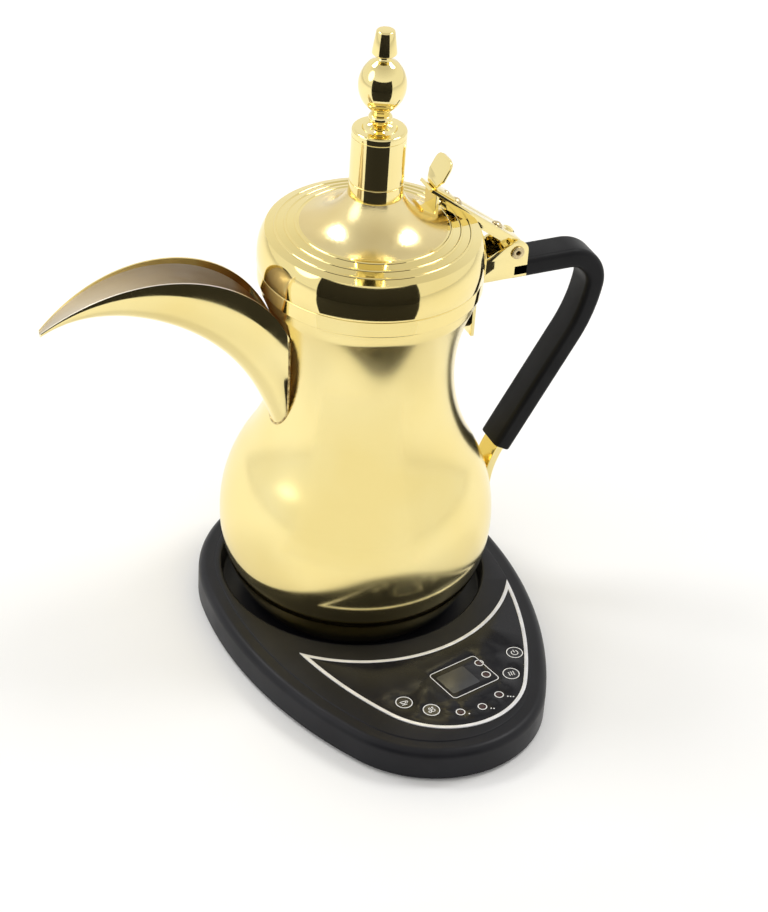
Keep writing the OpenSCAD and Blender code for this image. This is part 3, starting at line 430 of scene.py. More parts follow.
def piece(bm, name, body, finishes, stands_for=(), sharp=32):
    mesh = mesh_from(bm, name, MM)
    for finish in finishes:
        mesh.materials.append(finish.material)
    mesh.shade_smooth()
    mesh.set_sharp_from_angle(angle=radians(sharp))
    made = in_scene(name, mesh)
    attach(made, body)
    if stands_for:
        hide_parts(*stands_for)
    size = made.dimensions / MM
    print(f"{name}: {len(mesh.polygons)} faces, {size.x:.1f} x {size.y:.1f} x {size.z:.1f} mm")
    return made


def from_frame(node):
    """A merged copy of one of the frame's parts, in millimetres."""
    bm = bmesh.new()
    bm.from_mesh(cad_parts[node].data)
    bmesh.ops.scale(bm, vec=(1 / MM, 1 / MM, 1 / MM), verts=bm.verts)
    bmesh.ops.remove_doubles(bm, verts=bm.verts, dist=0.002)
    bmesh.ops.dissolve_limit(bm, angle_limit=radians(0.5), verts=bm.verts, edges=bm.edges)
    return bm


def cut_with(piece_made, cutter):
    """Takes a cutter's shape out of a piece, and removes the cutter."""
    trim = piece_made.modifiers.new("trim", "BOOLEAN")
    trim.object = cutter
    trim.solver = "EXACT"
    bpy.context.view_layer.update()
    shaped = piece_made.evaluated_get(bpy.context.evaluated_depsgraph_get())
    mesh = bpy.data.meshes.new_from_object(shaped)
    piece_made.modifiers.clear()
    old = piece_made.data
    piece_made.data = mesh
    bpy.data.meshes.remove(old)
    bpy.data.objects.remove(cutter)
    return piece_made


# %% [markdown]
# # The pot
# The pot is spun from sheet on a lathe, so a turned outline is the honest way to make it. Its
# side is two arcs that meet smoothly: a full belly low down, and a hollow waist that opens to
# the mouth. The same two arcs, one wall thickness in, make the inside, which is bare steel.

# %% The pot's side
belly_r = high_of("pot_shell").x
belly_z = 50.0            # height of the widest point
belly_curve = 70.0        # radius of the belly's curve, seen from the side
waist_r = 40.5
waist_curve = 90.0
mouth_r = 48.4
wall = 1.0
shell_low = low_of("pot_shell").z

belly_cx = belly_r - belly_curve
waist_cx = waist_r + waist_curve
reach = belly_curve + waist_curve
waist_z = belly_z + sqrt(reach ** 2 - (waist_cx - belly_cx) ** 2)
turn = degrees(asin((waist_z - belly_z) / reach))


def side_of_pot(inset, steps=40):
    """The pot's side from its foot up to its rim; inset is measured into the wall."""
    belly, waist = belly_curve - inset, waist_curve + inset
    foot = degrees(asin((shell_low - belly_z) / belly))
    flare = degrees(asin(sqrt(1 - ((waist_cx - mouth_r + inset) / waist) ** 2)))
    low = arc(belly_cx, belly_z, belly, foot, turn, steps)
    high = arc(waist_cx, waist_z, waist, 180 + turn, 180 - flare, steps)
    return low + high[1:] + [(mouth_r - inset, rim_z)]


def radius_at(z):
    """The pot's outer radius at a height."""
    if z < belly_z + belly_curve * sin(radians(turn)):
        return belly_cx + sqrt(belly_curve ** 2 - (z - belly_z) ** 2)
    return min(mouth_r, waist_cx - sqrt(waist_curve ** 2 - (z - waist_z) ** 2))


print("waist at", round(waist_z, 1), "mm; the arcs meet at", round(turn, 1), "degrees")

# %% [markdown]
# A window in the wall lets coffee into the spout. Its faces are taken out of both walls, and
# the two openings are bridged, so the sheet keeps its thickness all round the window.

# %% The pot's body
vent_low, vent_high = 130.0, 158.0
vent_half = 7.5

outer = side_of_pot(0)
inner = side_of_pot(wall)
bm = turned(outer + inner[::-1], steps=220)


def in_window(face):
    at = face.calc_center_median()
    inside = vent_low < at.z < vent_high and at.x < 0
    return inside and abs(at.y) < vent_half and face.normal.z ** 2 < 0.8


bmesh.ops.delete(bm, geom=[f for f in bm.faces if in_window(f)], context="FACES")
bmesh.ops.bridge_loops(bm, edges=[e for e in bm.edges if e.is_boundary])
for face in bm.faces:
    at = face.calc_center_median()
    face.material_index = 1 if hypot(at.x, at.y) < radius_at(at.z) - wall / 2 else 0
softened(bm, 0.25)
piece(bm, "pot_body", "pot", [body_gold, steel], ["pot_shell"])

# %% [markdown]
# A **collar** of thicker brass stiffens the mouth. Its edges are rolled, so two rows of
# highlight run round the pot just under the lid.

# %% The collar
collar_r = high_of("collar_band").x
collar_low, collar_high = low_of("collar_band").z, high_of("collar_band").z
roll = 0.8
face_x = collar_r - roll
bm = turned([(mouth_r + 0.02, collar_low + 0.1)]
            + arc(face_x, collar_low + roll, roll, -90, 0, 6)
            + arc(face_x, collar_high - roll, roll, 0, 90, 6)
            + [(mouth_r + 0.02, collar_high - 0.02)])
piece(bm, "mouth_collar", "pot", [gold], ["collar_band"])

# %% [markdown]
# # The spout
# The beak is an open channel, brazed to the pot over the window. Seen from the side it lies
# between two long curves: the edges of the channel above and its keel below. Both are Bezier
# curves here, because a smith shapes them by eye in one sweep. Between them the section is a
# half round, wide at the root and narrow at the tip.

# %% The spout's two curves
tip_x = low_of("spout").x
tip_z = rim_z - 6.5
spout_wall = 1.2
tip_wall = 0.5
root_half = 12.6
tip_half = 1.6

top_edge = [(-waist_r - 2.5, rim_z - 23), (-waist_r - 12.5, rim_z - 3),
            (-waist_r - 26.5, rim_z + 14.5), (tip_x + 47.5, rim_z + 24.5),
            (tip_x + 20.5, tip_z + 18), (tip_x, tip_z + 1)]
keel = [(0.5 - waist_r, rim_z - 85.5), (-waist_r - 6.5, rim_z - 69.5),
        (-waist_r - 13.5, rim_z - 32.5), (-waist_r - 35.5, tip_z - 9),
        (tip_x + 41.5, tip_z + 8), (tip_x + 17.5, tip_z + 10), (tip_x, tip_z - 1.5)]


def bezier(points, t):
    """The point at t on a Bezier curve of any number of control points."""
    while len(points) > 1:
        points = [tuple(a + (b - a) * t for a, b in zip(p, q)) for p, q in zip(points, points[1:])]
    return points[0]


def spout_point(t, angle, inset):
    edge, low = Vector(bezier(top_edge, t)), Vector(bezier(keel, t))
    half = root_half + (tip_half - root_half) * t ** 2.6 + 0.9 * sin(pi * t ** 0.8)
    depth = max(0, 1 - inset / (low - edge).length) * cos(angle)
    at = edge + (low - edge) * depth
    return Vector((at.x, (half - inset) * sin(angle), at.y))


# %% [markdown]
# The section goes round the outside from one edge to the other and comes back on the inside,
# so the channel is made with its wall in one sweep. The pot's own shape is then cut out of it
# with a boolean, which leaves the root fitting the pot as closely as a smith's saddle cut.

# %% The spout's sweep
rings = []
spout_steps, spout_sides = 90, 36
for i in range(spout_steps + 1):
    t = i / spout_steps
    inset = spout_wall + (tip_wall - spout_wall) * t
    angles = [pi * (j / spout_sides - 0.5) for j in range(spout_sides + 1)]
    rings.append([spout_point(t, a, 0) for a in angles]
                 + [spout_point(t, a, inset) for a in reversed(angles)])
bm = swept(rings)
uv = bm.loops.layers.uv.active
for face in bm.faces:
    if len(face.verts) == 4:
        across = sum(loop[uv].uv.y for loop in face.loops) / 4
        face.material_index = 1 if across > 0.51 and across < 0.995 else 0
spout = piece(bm, "spout_channel", "pot", [gold, channel], ["spout"])


def pot_cutter(sink=0.3):
    """The pot's outside as a solid, a little smaller, so that what it cuts sinks into the wall."""
    core = side_of_pot(sink)
    bm = turned([(0, shell_low)] + core[:-1] + [(mouth_r - sink, collar_low),
                (collar_r - sink, collar_low), (collar_r - sink, rim_z + 2), (0, rim_z + 2)])
    return in_scene("cutter", mesh_from(bm, "cutter", MM))


cut_with(spout, pot_cutter())
print("spout after its saddle cut:", len(spout.data.polygons), "faces")

# %% [markdown]
# Brazing leaves a thin **bead** where the spout meets the pot. Its path is found by sliding
# along the spout at each angle until the point leaves the pot, and a small round section is
# swept along that path.

# %% The brazed bead


def tube_rings(path, r, sides=10):
    """Round sections square to a path."""
    rings = []
    for i, at in enumerate(path):
        ahead, behind = path[min(i + 1, len(path) - 1)], path[max(i - 1, 0)]
        out = Vector((at.x, at.y, 0)).normalized()
        forward = (ahead - behind).normalized()
        across = forward.cross(out).normalized()
        out = across.cross(forward)
        rings.append([at + r * (cos(a) * across + sin(a) * out)
                      for a in (2 * pi * k / sides for k in range(sides))])
    return rings


def leaves_pot(angle):
    """Where the outside of the spout comes through the pot's side."""
    near, far = 0.0, 0.5
    for _ in range(40):
        t = (near + far) / 2
        at = spout_point(t, angle, 0)
        surface = collar_r if at.z > collar_low else radius_at(at.z)
        near, far = (t, far) if hypot(at.x, at.y) < surface else (near, t)
    return spout_point(near, angle, 0)


seam = [leaves_pot(radians(-88 + 176 * i / 80)) for i in range(81)]
bead = swept(tube_rings(seam, 0.5))
piece(bead, "brazed_bead", "pot", [braze], sharp=60)

# %% [markdown]
# # The lid
# The lid is spun too. A straight skirt hangs over the collar with a dark seam under it, then an
# arc turns in to the shoulder. Three fine rings are rolled above the shoulder, and a hollow
# curve climbs to the column. The skirt is polished but the cone keeps its satin grain, so the
# faces inside the rings take the second finish.

# %% The lid's outline
lid_r = high_of("lid_shell").x
lid_low, neck_z = low_of("lid_shell").z, high_of("lid_shell").z
lid_wall = 1.0
skirt_z = rim_z + 5
shoulder_r, shoulder_z = lid_r - 3.1, rim_z + 16.5
cone_r, cone_z = shoulder_r - 14.5, shoulder_z + 3.5
neck_r = high_of("column_tube").x + 0.5
cone_curve = 27.4
ring_bead, ring_sink = 0.7, 0.25


def hollow(from_r, from_z, to_r, to_z, curve, count):
    """A hollow arc between two points of the outline, bulging towards the pot's axis and down."""
    dr, dz = to_r - from_r, to_z - from_z
    chord = hypot(dr, dz)
    off = sqrt(curve ** 2 - chord ** 2 / 4)
    cx, cz = from_r + dr / 2 + dz / chord * off, from_z + dz / 2 - dr / chord * off
    start = degrees(atan2(from_z - cz, from_r - cx)) % 360
    end = degrees(atan2(to_z - cz, to_r - cx)) % 360
    return arc(cx, cz, curve, start, end, count)


def rolled_ring(r, z, slope):
    """A round ring half sunk in the sloping shoulder."""
    dip = degrees(asin(ring_sink / ring_bead))
    return arc(r, z - ring_sink, ring_bead, dip - slope, 180 - slope - dip, 10)


skirt_in = lid_r - shoulder_r
skirt_curve = ((shoulder_z - skirt_z) ** 2 + skirt_in ** 2) / (2 * skirt_in)
skirt_turn = degrees(asin((shoulder_z - skirt_z) / skirt_curve))
slope = degrees(atan2(cone_z - shoulder_z, shoulder_r - cone_r))
outline = [(lid_r - 0.3, lid_low), (lid_r - 0.08, lid_low + 0.08), (lid_r, lid_low + 0.3)]
outline += arc(lid_r - skirt_curve, skirt_z, skirt_curve, 0, skirt_turn, 30)
for r in (cone_r + 10, cone_r + 5.5, cone_r + 1):
    z = shoulder_z + (shoulder_r - r) * (cone_z - shoulder_z) / (shoulder_r - cone_r)
    outline += rolled_ring(r, z, slope)
cone = hollow(cone_r - 0.4, cone_z, neck_r, neck_z, cone_curve, 40)
outline += cone
print("shoulder slope", round(slope, 1), "degrees; skirt curve", round(skirt_curve, 1), "mm")

# %% [markdown]
# The inside of the **dome** follows the outside one wall lower, so the sheet is as thick at the
# rim as it is on the real lid. The finish is then chosen face by face: what looks up from
# inside the rings is satin, and the rest is polished.

# %% The lid's shell
inside = [(neck_r - 3, neck_z), (neck_r - 3, neck_z - 3)]
inside += [(r - 0.3, z - lid_wall) for r, z in cone[::-1] if r > neck_r and z < neck_z - 2]
inside += [(shoulder_r - lid_wall, shoulder_z - lid_wall), (lid_r - lid_wall, skirt_z),
           (lid_r - lid_wall, lid_low)]
bm = turned(outline + inside, steps=220)
satin_edge = cone_r - 0.5
for face in bm.faces:
    at = face.calc_center_median()
    face.material_index = 1 if hypot(at.x, at.y) < satin_edge and face.normal.z > 0.1 else 0
piece(bm, "lid_dome", "lid", [gold, satin], ["lid_shell"], sharp=40)

# %% [markdown]
# The **column** is a plain tube with one groove near its foot. Its **cap** has a rolled edge
# and a dished middle that the **finial** stands in. The finial is turned solid: a foot, a bead,
# an egg-shaped bulb with a narrow neck, and a small flared tip to lift the lid by.

# %% The column and its cap
column_r = high_of("column_tube").x
column_top = high_of("column_tube").z
groove_z = neck_z + 6.5
bm = turned([(column_r - 4, neck_z - 2), (neck_r - 3.1, neck_z - 2), (neck_r - 3.1, neck_z + 0.02),
             (column_r, neck_z + 0.02)]
            + arc(column_r, groove_z, 0.5, 270, 90, 8)
            + [(column_r, column_top - 0.25), (column_r - 0.25, column_top - 0.01),
               (column_r - 4, column_top - 0.01)], steps=160)
piece(bm, "column", "lid", [gold], ["column_tube"])

cap_r, cap_top = high_of("column_cap").x, high_of("column_cap").z
cap_edge = 1.2
dish_r, dish_at = 3.4, 4.6
dish_up = 1.4
dish_turn = degrees(asin(dish_up / dish_r))
dish = arc(dish_at, cap_top + dish_up, dish_r, -dish_turn, dish_turn - 180, 24)
bm = turned([(2, column_top - 3), (column_r - 4.1, column_top - 3), (column_r - 4.1, column_top),
             (cap_r - 0.2, column_top), (cap_r, column_top + 0.2)]
            + arc(cap_r - cap_edge, cap_top - cap_edge, cap_edge, 0, 90, 10)
            + [(r, z) for r, z in dish if r > 2.1], steps=160)
piece(bm, "column_top", "lid", [gold], ["column_cap"])

# %% [markdown]
# The **bulb** is one long arc, cut short at both ends where the neck and the foot begin. Where
# it ends follows from its curve, so the neck always meets it, whatever its radius is.

# %% The finial
finial_z = neck_z + 31.2
bulb_r = high_of("finial").x
bulb_curve, bulb_z = 14.0, finial_z + 20.3
bulb_end = degrees(asin(sqrt(1 - ((bulb_curve - bulb_r + 4.4) / bulb_curve) ** 2)))
bulb_half = bulb_curve * sin(radians(bulb_end))
tip_low = bulb_z + bulb_half + 2.6
bm = turned([(0, low_of("finial").z), (1.9, low_of("finial").z), (1.9, finial_z), (3, finial_z),
             (3, finial_z + 3.2)]
            + arc(3.4, finial_z + 5, 1.8, -80, 80, 12)
            + [(4.2, finial_z + 7.1)]
            + arc(bulb_r - bulb_curve, bulb_z, bulb_curve, -bulb_end, bulb_end - 9, 40)
            + [(4.0, bulb_z + bulb_half - 0.2), (2.9, bulb_z + bulb_half + 0.7),
               (2.7, bulb_z + bulb_half + 1.4), (2.8, tip_low - 0.3), (3.3, tip_low)]
            + arc(4.6, tip_low + 0.8, 0.8, -90, 5, 6)
            + [(4.1, tip_low + 10)]
            + arc(3.2, tip_low + 10.1, 0.85, 0, 90, 6)
            + [(0, tip_low + 11)], steps=120, closed=False)
piece(bm, "finial_turned", "lid", [gold], ["finial"], sharp=50)

# %% [markdown]
# # The handle
# The handle is one flat brass bar, bent in the smith's order: a short level run out of the
# bracket, a tight bend down, a slow sweep, a straight run, and a last curve back to the belly,
# where it is brazed on. The path is built the same way, from arcs that continue each other.
# The bar's section is a rounded rectangle, and the rubber grip is a larger one round it.

# %% The handle's path
bar_t, bar_w = 4.0, 12.8
grip_t, grip_w = 9.6, 16.0
bend_r, sweep_r, foot_r = 14.5, 75.0, 45.0
bend_end, sweep_end, foot_turn = -8.0, -29.5, 35.5
pin_x = (low_of("hinge_pin").x + high_of("hinge_pin").x) / 2
pin_z = (low_of("hinge_pin").z + high_of("hinge_pin").z) / 2
bar_x = pin_x - 11
grip_x = low_of("grip_sleeve").x
grip_z = high_of("handle_strap").z - bar_t / 2


def ray(a):
    return Vector((cos(radians(a)), sin(radians(a))))


bend_c = Vector((high_of("grip_sleeve").x - bend_r - grip_t / 2, grip_z - bend_r))
sweep_c = bend_c + (bend_r - sweep_r) * ray(bend_end)
sweep_p = sweep_c + sweep_r * ray(sweep_end)
grip_end_z = low_of("grip_sleeve").z - grip_t / 2 * sin(radians(sweep_end))
run = (sweep_p.y - grip_end_z) / cos(radians(sweep_end))
run_dir = Vector((sin(radians(sweep_end)), -cos(radians(sweep_end))))
grip_end = sweep_p + run * run_dir
foot_c = grip_end + foot_r * ray(sweep_end)


def stations(start_x, with_foot):
    """(place, outward angle) of each section down the handle."""
    made = [(Vector((start_x + (bend_c.x - start_x) * i / 8, grip_z)), 90) for i in range(8)]
    for c, r, a0, a1, count in ((bend_c, bend_r, 90, bend_end, 28),
                                (sweep_c, sweep_r, bend_end, sweep_end, 14)):
        turns = [a0 + (a1 - a0) * i / count for i in range(count)]
        made += [(c + r * ray(a), a) for a in turns]
    made += [(sweep_p + run * i / 12 * run_dir, sweep_end) for i in range(13)]
    if with_foot:
        turns = [sweep_end + foot_turn * i / 20 for i in range(1, 21)]
        made += [(foot_c - foot_r * ray(a), a) for a in turns]
    return made


def section(thick, wide, corner, count=5):
    """A rounded rectangle: x across the thickness and y across the width."""
    loop = []
    for sx, sy, a in ((1, 1, 0), (-1, 1, 90), (-1, -1, 180), (1, -1, 270)):
        loop += arc(sx * (thick / 2 - corner), sy * (wide / 2 - corner), corner, a, a + 90, count)
    return loop


def along_handle(places, loop):
    return [[Vector((at.x + x * ray(a).x, y, at.y + x * ray(a).y)) for x, y in loop]
            for at, a in places]


print("grip runs", round(run, 1), "mm straight after its bends")

# %% [markdown]
# The **bar** is swept first and then trimmed with the pot's own shape, as the spout was, so its
# foot fits the belly it is brazed to.

# %% The bar
handle = piece(swept(along_handle(stations(bar_x, True), section(bar_t, bar_w, 0.6))),
               "handle_bar", "pot", [gold], ["handle_strap"])
cut_with(handle, pot_cutter())

# %% [markdown]
# The grip is moulded rubber, pushed over the bar, so its ends are cut square with a small rounding.
# Its section is a rounded rectangle with larger corners than the bar's, and its end faces are
# closed flat.

# %% The grip
grip_corner = 2.6
grip = swept(along_handle(stations(grip_x, False), section(grip_t, grip_w, grip_corner, 8)))
caps = [f for f in grip.faces if len(f.verts) > 4]
rims = [e for f in caps for e in f.edges]
bmesh.ops.bevel(grip, geom=rims, offset=0.9, offset_type="OFFSET", segments=4, profile=0.5,
                affect="EDGES", clamp_overlap=True, material=-1)
piece(grip, "rubber_grip", "pot", [rubber], ["grip_sleeve"])

# %% [markdown]
# # The thumb plate
# A leaf of sheet is riveted to the strap and bent up for the thumb. It is a ribbon whose width
# changes along its length: narrow where it lies on the strap, wide at the leaf, and rounded at
# the tip. So it is swept along its bent path with a different section at each station.

# %% The strap's own frame
strap_slope = 36.4
strap_len, strap_t = 58.0, 1.5
knuckle_r = strap_t + 0.1 + (shoulder_r - pin_x) * sin(radians(strap_slope)) \
    + (shoulder_z - pin_z) * cos(radians(strap_slope))
on_strap = Matrix.Translation((pin_x, 0, pin_z)) \
    @ Matrix.Rotation(radians(strap_slope), 4, "Y") @ Matrix.Diagonal((-1, 1, 1, 1))
print("pin at", round(pin_x, 1), round(pin_z, 1), "knuckle radius", round(knuckle_r, 2))

# %% The leaf
thumb_at, thumb_x = 46.6, strap_len - 1.8
leaf_t, leaf_len, leaf_lean = 1.2, 14.6, 28.0
leaf_bend = 2.0
leaf_rise = 90 - strap_slope + leaf_lean
flat_z = knuckle_r + leaf_t / 2


def leaf_width(s):
    """Half width along the ribbon; s is 0 at its start on the strap and 1 at the leaf's tip."""
    neck = 4.5 + 2.7 * min(1, max(0, (s - 0.38) / 0.22)) ** 1.5
    round_off = sqrt(max(0.0, 1 - max(0, (s - 0.80) / 0.20) ** 2.4))
    return neck * (0.42 + 0.58 * round_off) if s > 0.80 else neck


path = [(Vector((thumb_at - 3 + (thumb_x - leaf_bend - thumb_at + 3) * i / 6, flat_z)), 90)
        for i in range(6)]
bend_at = Vector((thumb_x - leaf_bend, flat_z + leaf_bend))
for i in range(9):
    a = leaf_rise * i / 8
    path.append((bend_at + leaf_bend * ray(a - 90), a + 90))
start = path[-1][0]
climb = ray(leaf_rise)
path += [(start + climb * (leaf_len - leaf_bend) * i / 16, leaf_rise + 90) for i in range(1, 17)]
rings = []
for i, (at, a) in enumerate(path):
    loop = section(leaf_t, 2 * leaf_width(i / (len(path) - 1)), 0.35, 3)
    rings.append([on_strap @ Vector((at.x + x * ray(a).x, y, at.y + x * ray(a).y))
                  for x, y in loop])
piece(swept(rings), "thumb_leaf", "lid", [gold], ["thumb_plate"], sharp=45)

# %% [markdown]
# # Bracket, strap and fixings
# These parts are folded sheet, rivets and turned pins. The frame holds their true shape, holes
# included, so each is a merged copy of its frame part with its edges softened. What is left to
# do here is to choose how soft: a filed sheet edge is rounder than a rivet's rim.

# %% Folded and turned fittings
fittings = [
    ("hinge_bracket", "bracket_sheet", "pot", gold, "gold", 0.3),
    ("lid_strap", "lid_hinge_strap", "lid", gold, "gold", 0.3),
    ("strap_foot", "strap_tab", "lid", gold, "gold", 0.2),
    ("hinge_pin", "tubular_pin", "pot", brass, "brass", 0.2),
    ("strap_rivets", "strap_rivet_heads", "lid", brass, "brass", 0.1),
    ("thumb_rivet", "thumb_rivet_head", "lid", brass, "brass", 0.08),
    ("handle_rivet", "bar_rivet", "pot", steel, "steel", 0.1),
    ("bracket_rivet", "leg_rivet", "pot", steel, "steel", 0.1),
    ("bracket_spacer", "leg_spacer", "pot", moulding, "black_plastic", 0.1),
    ("foot_cup", "pot_foot", "pot", moulding, "black_plastic", 0.25),
    ("cord_gland", "cable_gland", "base", rubber, "rubber", 0.25),
    ("anti_slip_ring", "foot_ring", "base", rubber, "rubber", 0.25),
    ("front_pads", "foot_pads", "base", rubber, "rubber", 0.25),
    ("cover_screws", "cover_screw_heads", "base", silver, "silver", 0.12),
    ("base_cover", "under_cover", "base", moulding, "black_plastic", 0.3),
    ("base_connector", "well_connector", "base", moulding, "black_plastic", 0.25),
    ("connector_post", "contact_post", "core", brass, "brass", 0.2),
]
for node, name, body, finish, slot, soft in fittings:
    piece(softened(from_frame(node), soft), name, body, [finish], [node])

# %% [markdown]
# The parts that stay inside are left as the frame's own meshes. They only show when the lid is
# open or the pot is lifted off, so a good finish is enough.

# %% Finishes for the parts inside
inner_parts = {
    "spout_strainer": steel, "pot_floor": steel, "lid_liner": steel, "heating_element": steel,
    "thermostat": ceramic, "foot_seal": seal, "lid_gasket": seal, "pot_connector": moulding,
    "contact_rings": brass, "control_board": circuit, "tact_switches": steel,
    "power_board": circuit, "display_module": ceramic,
}
for node, finish in inner_parts.items():
    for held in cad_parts[node].material_slots:
        held.material = finish.material
print(len(inner_parts), "inner parts have their finish")

# %% [markdown]
# # The power base
# The base is one injection-moulded shell. From above it is an egg: a large circle round the
# pot, a smaller one at the panel, and two long side arcs that meet them smoothly. Every line
# on it, the foot, the rounded shoulder, the ridge and the panel, is the same egg made smaller,
# so one function that gives the egg at any inset draws them all.

# %% The egg
base_r = high_of("base_shell").y
front_r, side_r = 53.5, 200.0
base_reach = -low_of("base_shell").y - front_r
side_a, side_b = side_r - base_r, side_r - front_r
side_y = (side_a ** 2 - side_b ** 2 + base_reach ** 2) / (2 * base_reach)
side_x = sqrt(side_a ** 2 - side_y ** 2)
turn_a = degrees(atan2(side_y, side_x))
turn_b = degrees(atan2(base_reach - side_y, side_x))


def egg(inset, fine=1):
    """The base's outline made smaller by inset, counter-clockwise."""
    loop = arc(0, 0, base_r - inset, turn_a, 180 - turn_a, 96 * fine)[:-1]
    loop += arc(side_x, -side_y, side_r - inset, 180 - turn_a, 180 + turn_b, 40 * fine)[:-1]
    loop += arc(0, -base_reach, front_r - inset, 180 + turn_b, 360 - turn_b, 72 * fine)[:-1]
    return loop + arc(-side_x, -side_y, side_r - inset, -turn_b, turn_a, 40 * fine)[:-1]


print("egg:", len(egg(0)), "points,", round(base_r + base_reach + front_r, 1), "mm long")

# %% [markdown]
# The panel is a crescent: a smaller egg, set a little to one side, with the pot's surround cut
# out of it by a circle. Its corners are where the two curves cross, and they are found by
# walking along the egg.

# %% The crescent and the small outlines
panel_inner_r, panel_inset, panel_shift = 76.0, 15.5, 5.5
border_w = 1.7


def crescent(inset):
    """The panel's outline; a negative inset makes it larger."""
    hole = panel_inner_r + inset
    curve = [(x + panel_shift, y) for x, y in egg(panel_inset + inset, fine=3)]
    kept = [i for i, (x, y) in enumerate(curve) if hypot(x, y) > hole and y < -hole * 0.4]

    def crossing(i, j):
        (x0, y0), (x1, y1) = curve[i], curve[j]
        d0, d1 = hypot(x0, y0) - hole, hypot(x1, y1) - hole
        s = d0 / (d0 - d1)
        return x0 + (x1 - x0) * s, y0 + (y1 - y0) * s

    first, last = crossing(kept[0] - 1, kept[0]), crossing(kept[-1], kept[-1] + 1)
    front = [first] + [curve[i] for i in kept] + [last]
    a0 = degrees(atan2(last[1], last[0]))
    a1 = degrees(atan2(first[1], first[0]))
    return front + arc(0, 0, hole, a0, a1 if a1 < a0 else a1 - 360, 90)[1:-1]


def rounded_box(cx, cy, w, h, r, tilt, count=6):
    loop = section(w, h, r, count)
    c, s = cos(radians(tilt)), sin(radians(tilt))
    return [(cx + c * x - s * y, cy + s * x + c * y) for x, y in loop]


keys = {"on": (43.1, -0.4), "warm": (35.0, -13.3), "brew": (-19.0, -14.9), "boil": (-9.6, -23.7)}
keys = {name: (x, y - base_reach) for name, (x, y) in keys.items()}
lamps = [(24.5, -1.6), (24, -10), (2, -29.4), (12.8, -29.4), (23.4, -24.6)]
lamps = [(x, y - base_reach) for x, y in lamps]
display_at, display_size, display_tilt = (13.9, -8.2 - base_reach), (27.0, 20.0), 13.0
key_r, key_gap, lamp_r = 4.0, 0.3, 1.6
display = rounded_box(*display_at, *display_size, 2.0, display_tilt)
window = rounded_box(*display_at, display_size[0] - 2, display_size[1] - 2, 1.4, display_tilt)
key_holes = [circle(x, y, key_r + key_gap) for x, y in keys.values()]
lamp_holes = [circle(x, y, lamp_r + 0.05, 32) for x, y in lamps]
outside_lamps, window_lamps = lamp_holes[2:], lamp_holes[:2]

# %% [markdown]
# The shell is built as a hollow moulding, skin by skin: the outer wall and its rounded
# shoulder, the raised top, the well that the pot stands in, the panel's shallow recess with its
# holes, and the inner wall and ceiling. Each skin ends on the same loops of points as its
# neighbour, so merging doubles sews them into one closed shell.

# %% The base's skins
base_top = high_of("base_shell").z
shell_z = low_of("base_shell").z
base_wall, ceiling = 2.4, base_top - 2.4
shoulder_top, shoulder_round = base_top - 0.6, 4.0
ridge = panel_inset - border_w - panel_shift - 0.5
recess_z = low_of("panel_overlay").z
well_r, well_lip, well_floor = 62.0, 1.6, 5.5
well_under = well_floor - 1.8
post_hole = 6.5
rest_r = high_of("foot_cup").x - 7.2
rest_z = low_of("foot_cup").z - 0.1
well_steps = 180

shoulder = arc(shoulder_round, shoulder_top - shoulder_round, shoulder_round, 180, 90, 10)
skin = [(ridge, ceiling), (base_wall, ceiling), (base_wall, shell_z + 0.3), (base_wall - 0.3, shell_z),
        (0.4, shell_z), (0, shell_z + 0.4)]
skin += shoulder
skin += [(ridge - 0.7, shoulder_top), (ridge - 0.2, shoulder_top + 0.08), (ridge, shoulder_top + 0.3),
         (ridge + 0.12, base_top - 0.1), (ridge + 0.4, base_top)]
bm = swept([[Vector((x, y, z)) for x, y in egg(inset)] for inset, z in skin], ends=False)

well = [(well_r + base_wall, ceiling), (well_r + base_wall, well_under), (post_hole, well_under),
        (post_hole, well_floor), (rest_r - 4, well_floor), (rest_r - 4, rest_z - 0.2),
        (rest_r - 3.8, rest_z), (rest_r - 0.2, rest_z), (rest_r, rest_z - 0.2), (rest_r, well_floor)]
well += arc(well_r - 1.5, well_floor + 1.5, 1.5, -90, 0, 6)
well += arc(well_r + well_lip, base_top - well_lip, well_lip, 180, 90, 8)
add_to(bm, turned(well, steps=well_steps, closed=False))

# %% [markdown]
# The flat faces between the skins have holes in them, so they are filled rather than swept:
# the top with the pot's mouth and the panel in it, the panel's bed with its keys and lamps,
# and the ceiling below. Low walls join the panel's edges. A closed shell has no open edges,
# and the count is printed to prove it.

# %% The base's flat faces, recess and holes
recess = crescent(-border_w - 0.05)
mouth = circle(0, 0, well_r + well_lip, well_steps)
well_out = circle(0, 0, well_r + base_wall, well_steps)
pockets = key_holes + outside_lamps + [window]
filled(bm, [egg(ridge + 0.4), mouth, recess], base_top)
filled(bm, [recess] + pockets, recess_z)
filled(bm, [egg(ridge), well_out] + pockets, ceiling)
walled(bm, recess, recess_z, base_top)
for loop in pockets:
    walled(bm, loop, ceiling, recess_z)
bmesh.ops.remove_doubles(bm, verts=bm.verts, dist=0.004)
bmesh.ops.recalc_face_normals(bm, faces=bm.faces)
print("open edges in the base shell:", sum(len(e.link_faces) != 2 for e in bm.edges))
piece(bm, "base_moulding", "base", [moulding], ["base_shell"], sharp=38)

# %% [markdown]
# # The control panel
# A crescent of dark film lies in the recess, with a silver foil border round it. The display
# window is let into the film, and the lamps show through it. The film's outer corners are
# sharp, as a die cuts them, so only a tiny softening is given to the edges.

# %% Film, border and display
film_top = high_of("panel_overlay").z
border_top = high_of("panel_border").z
seam_gap = 0.02

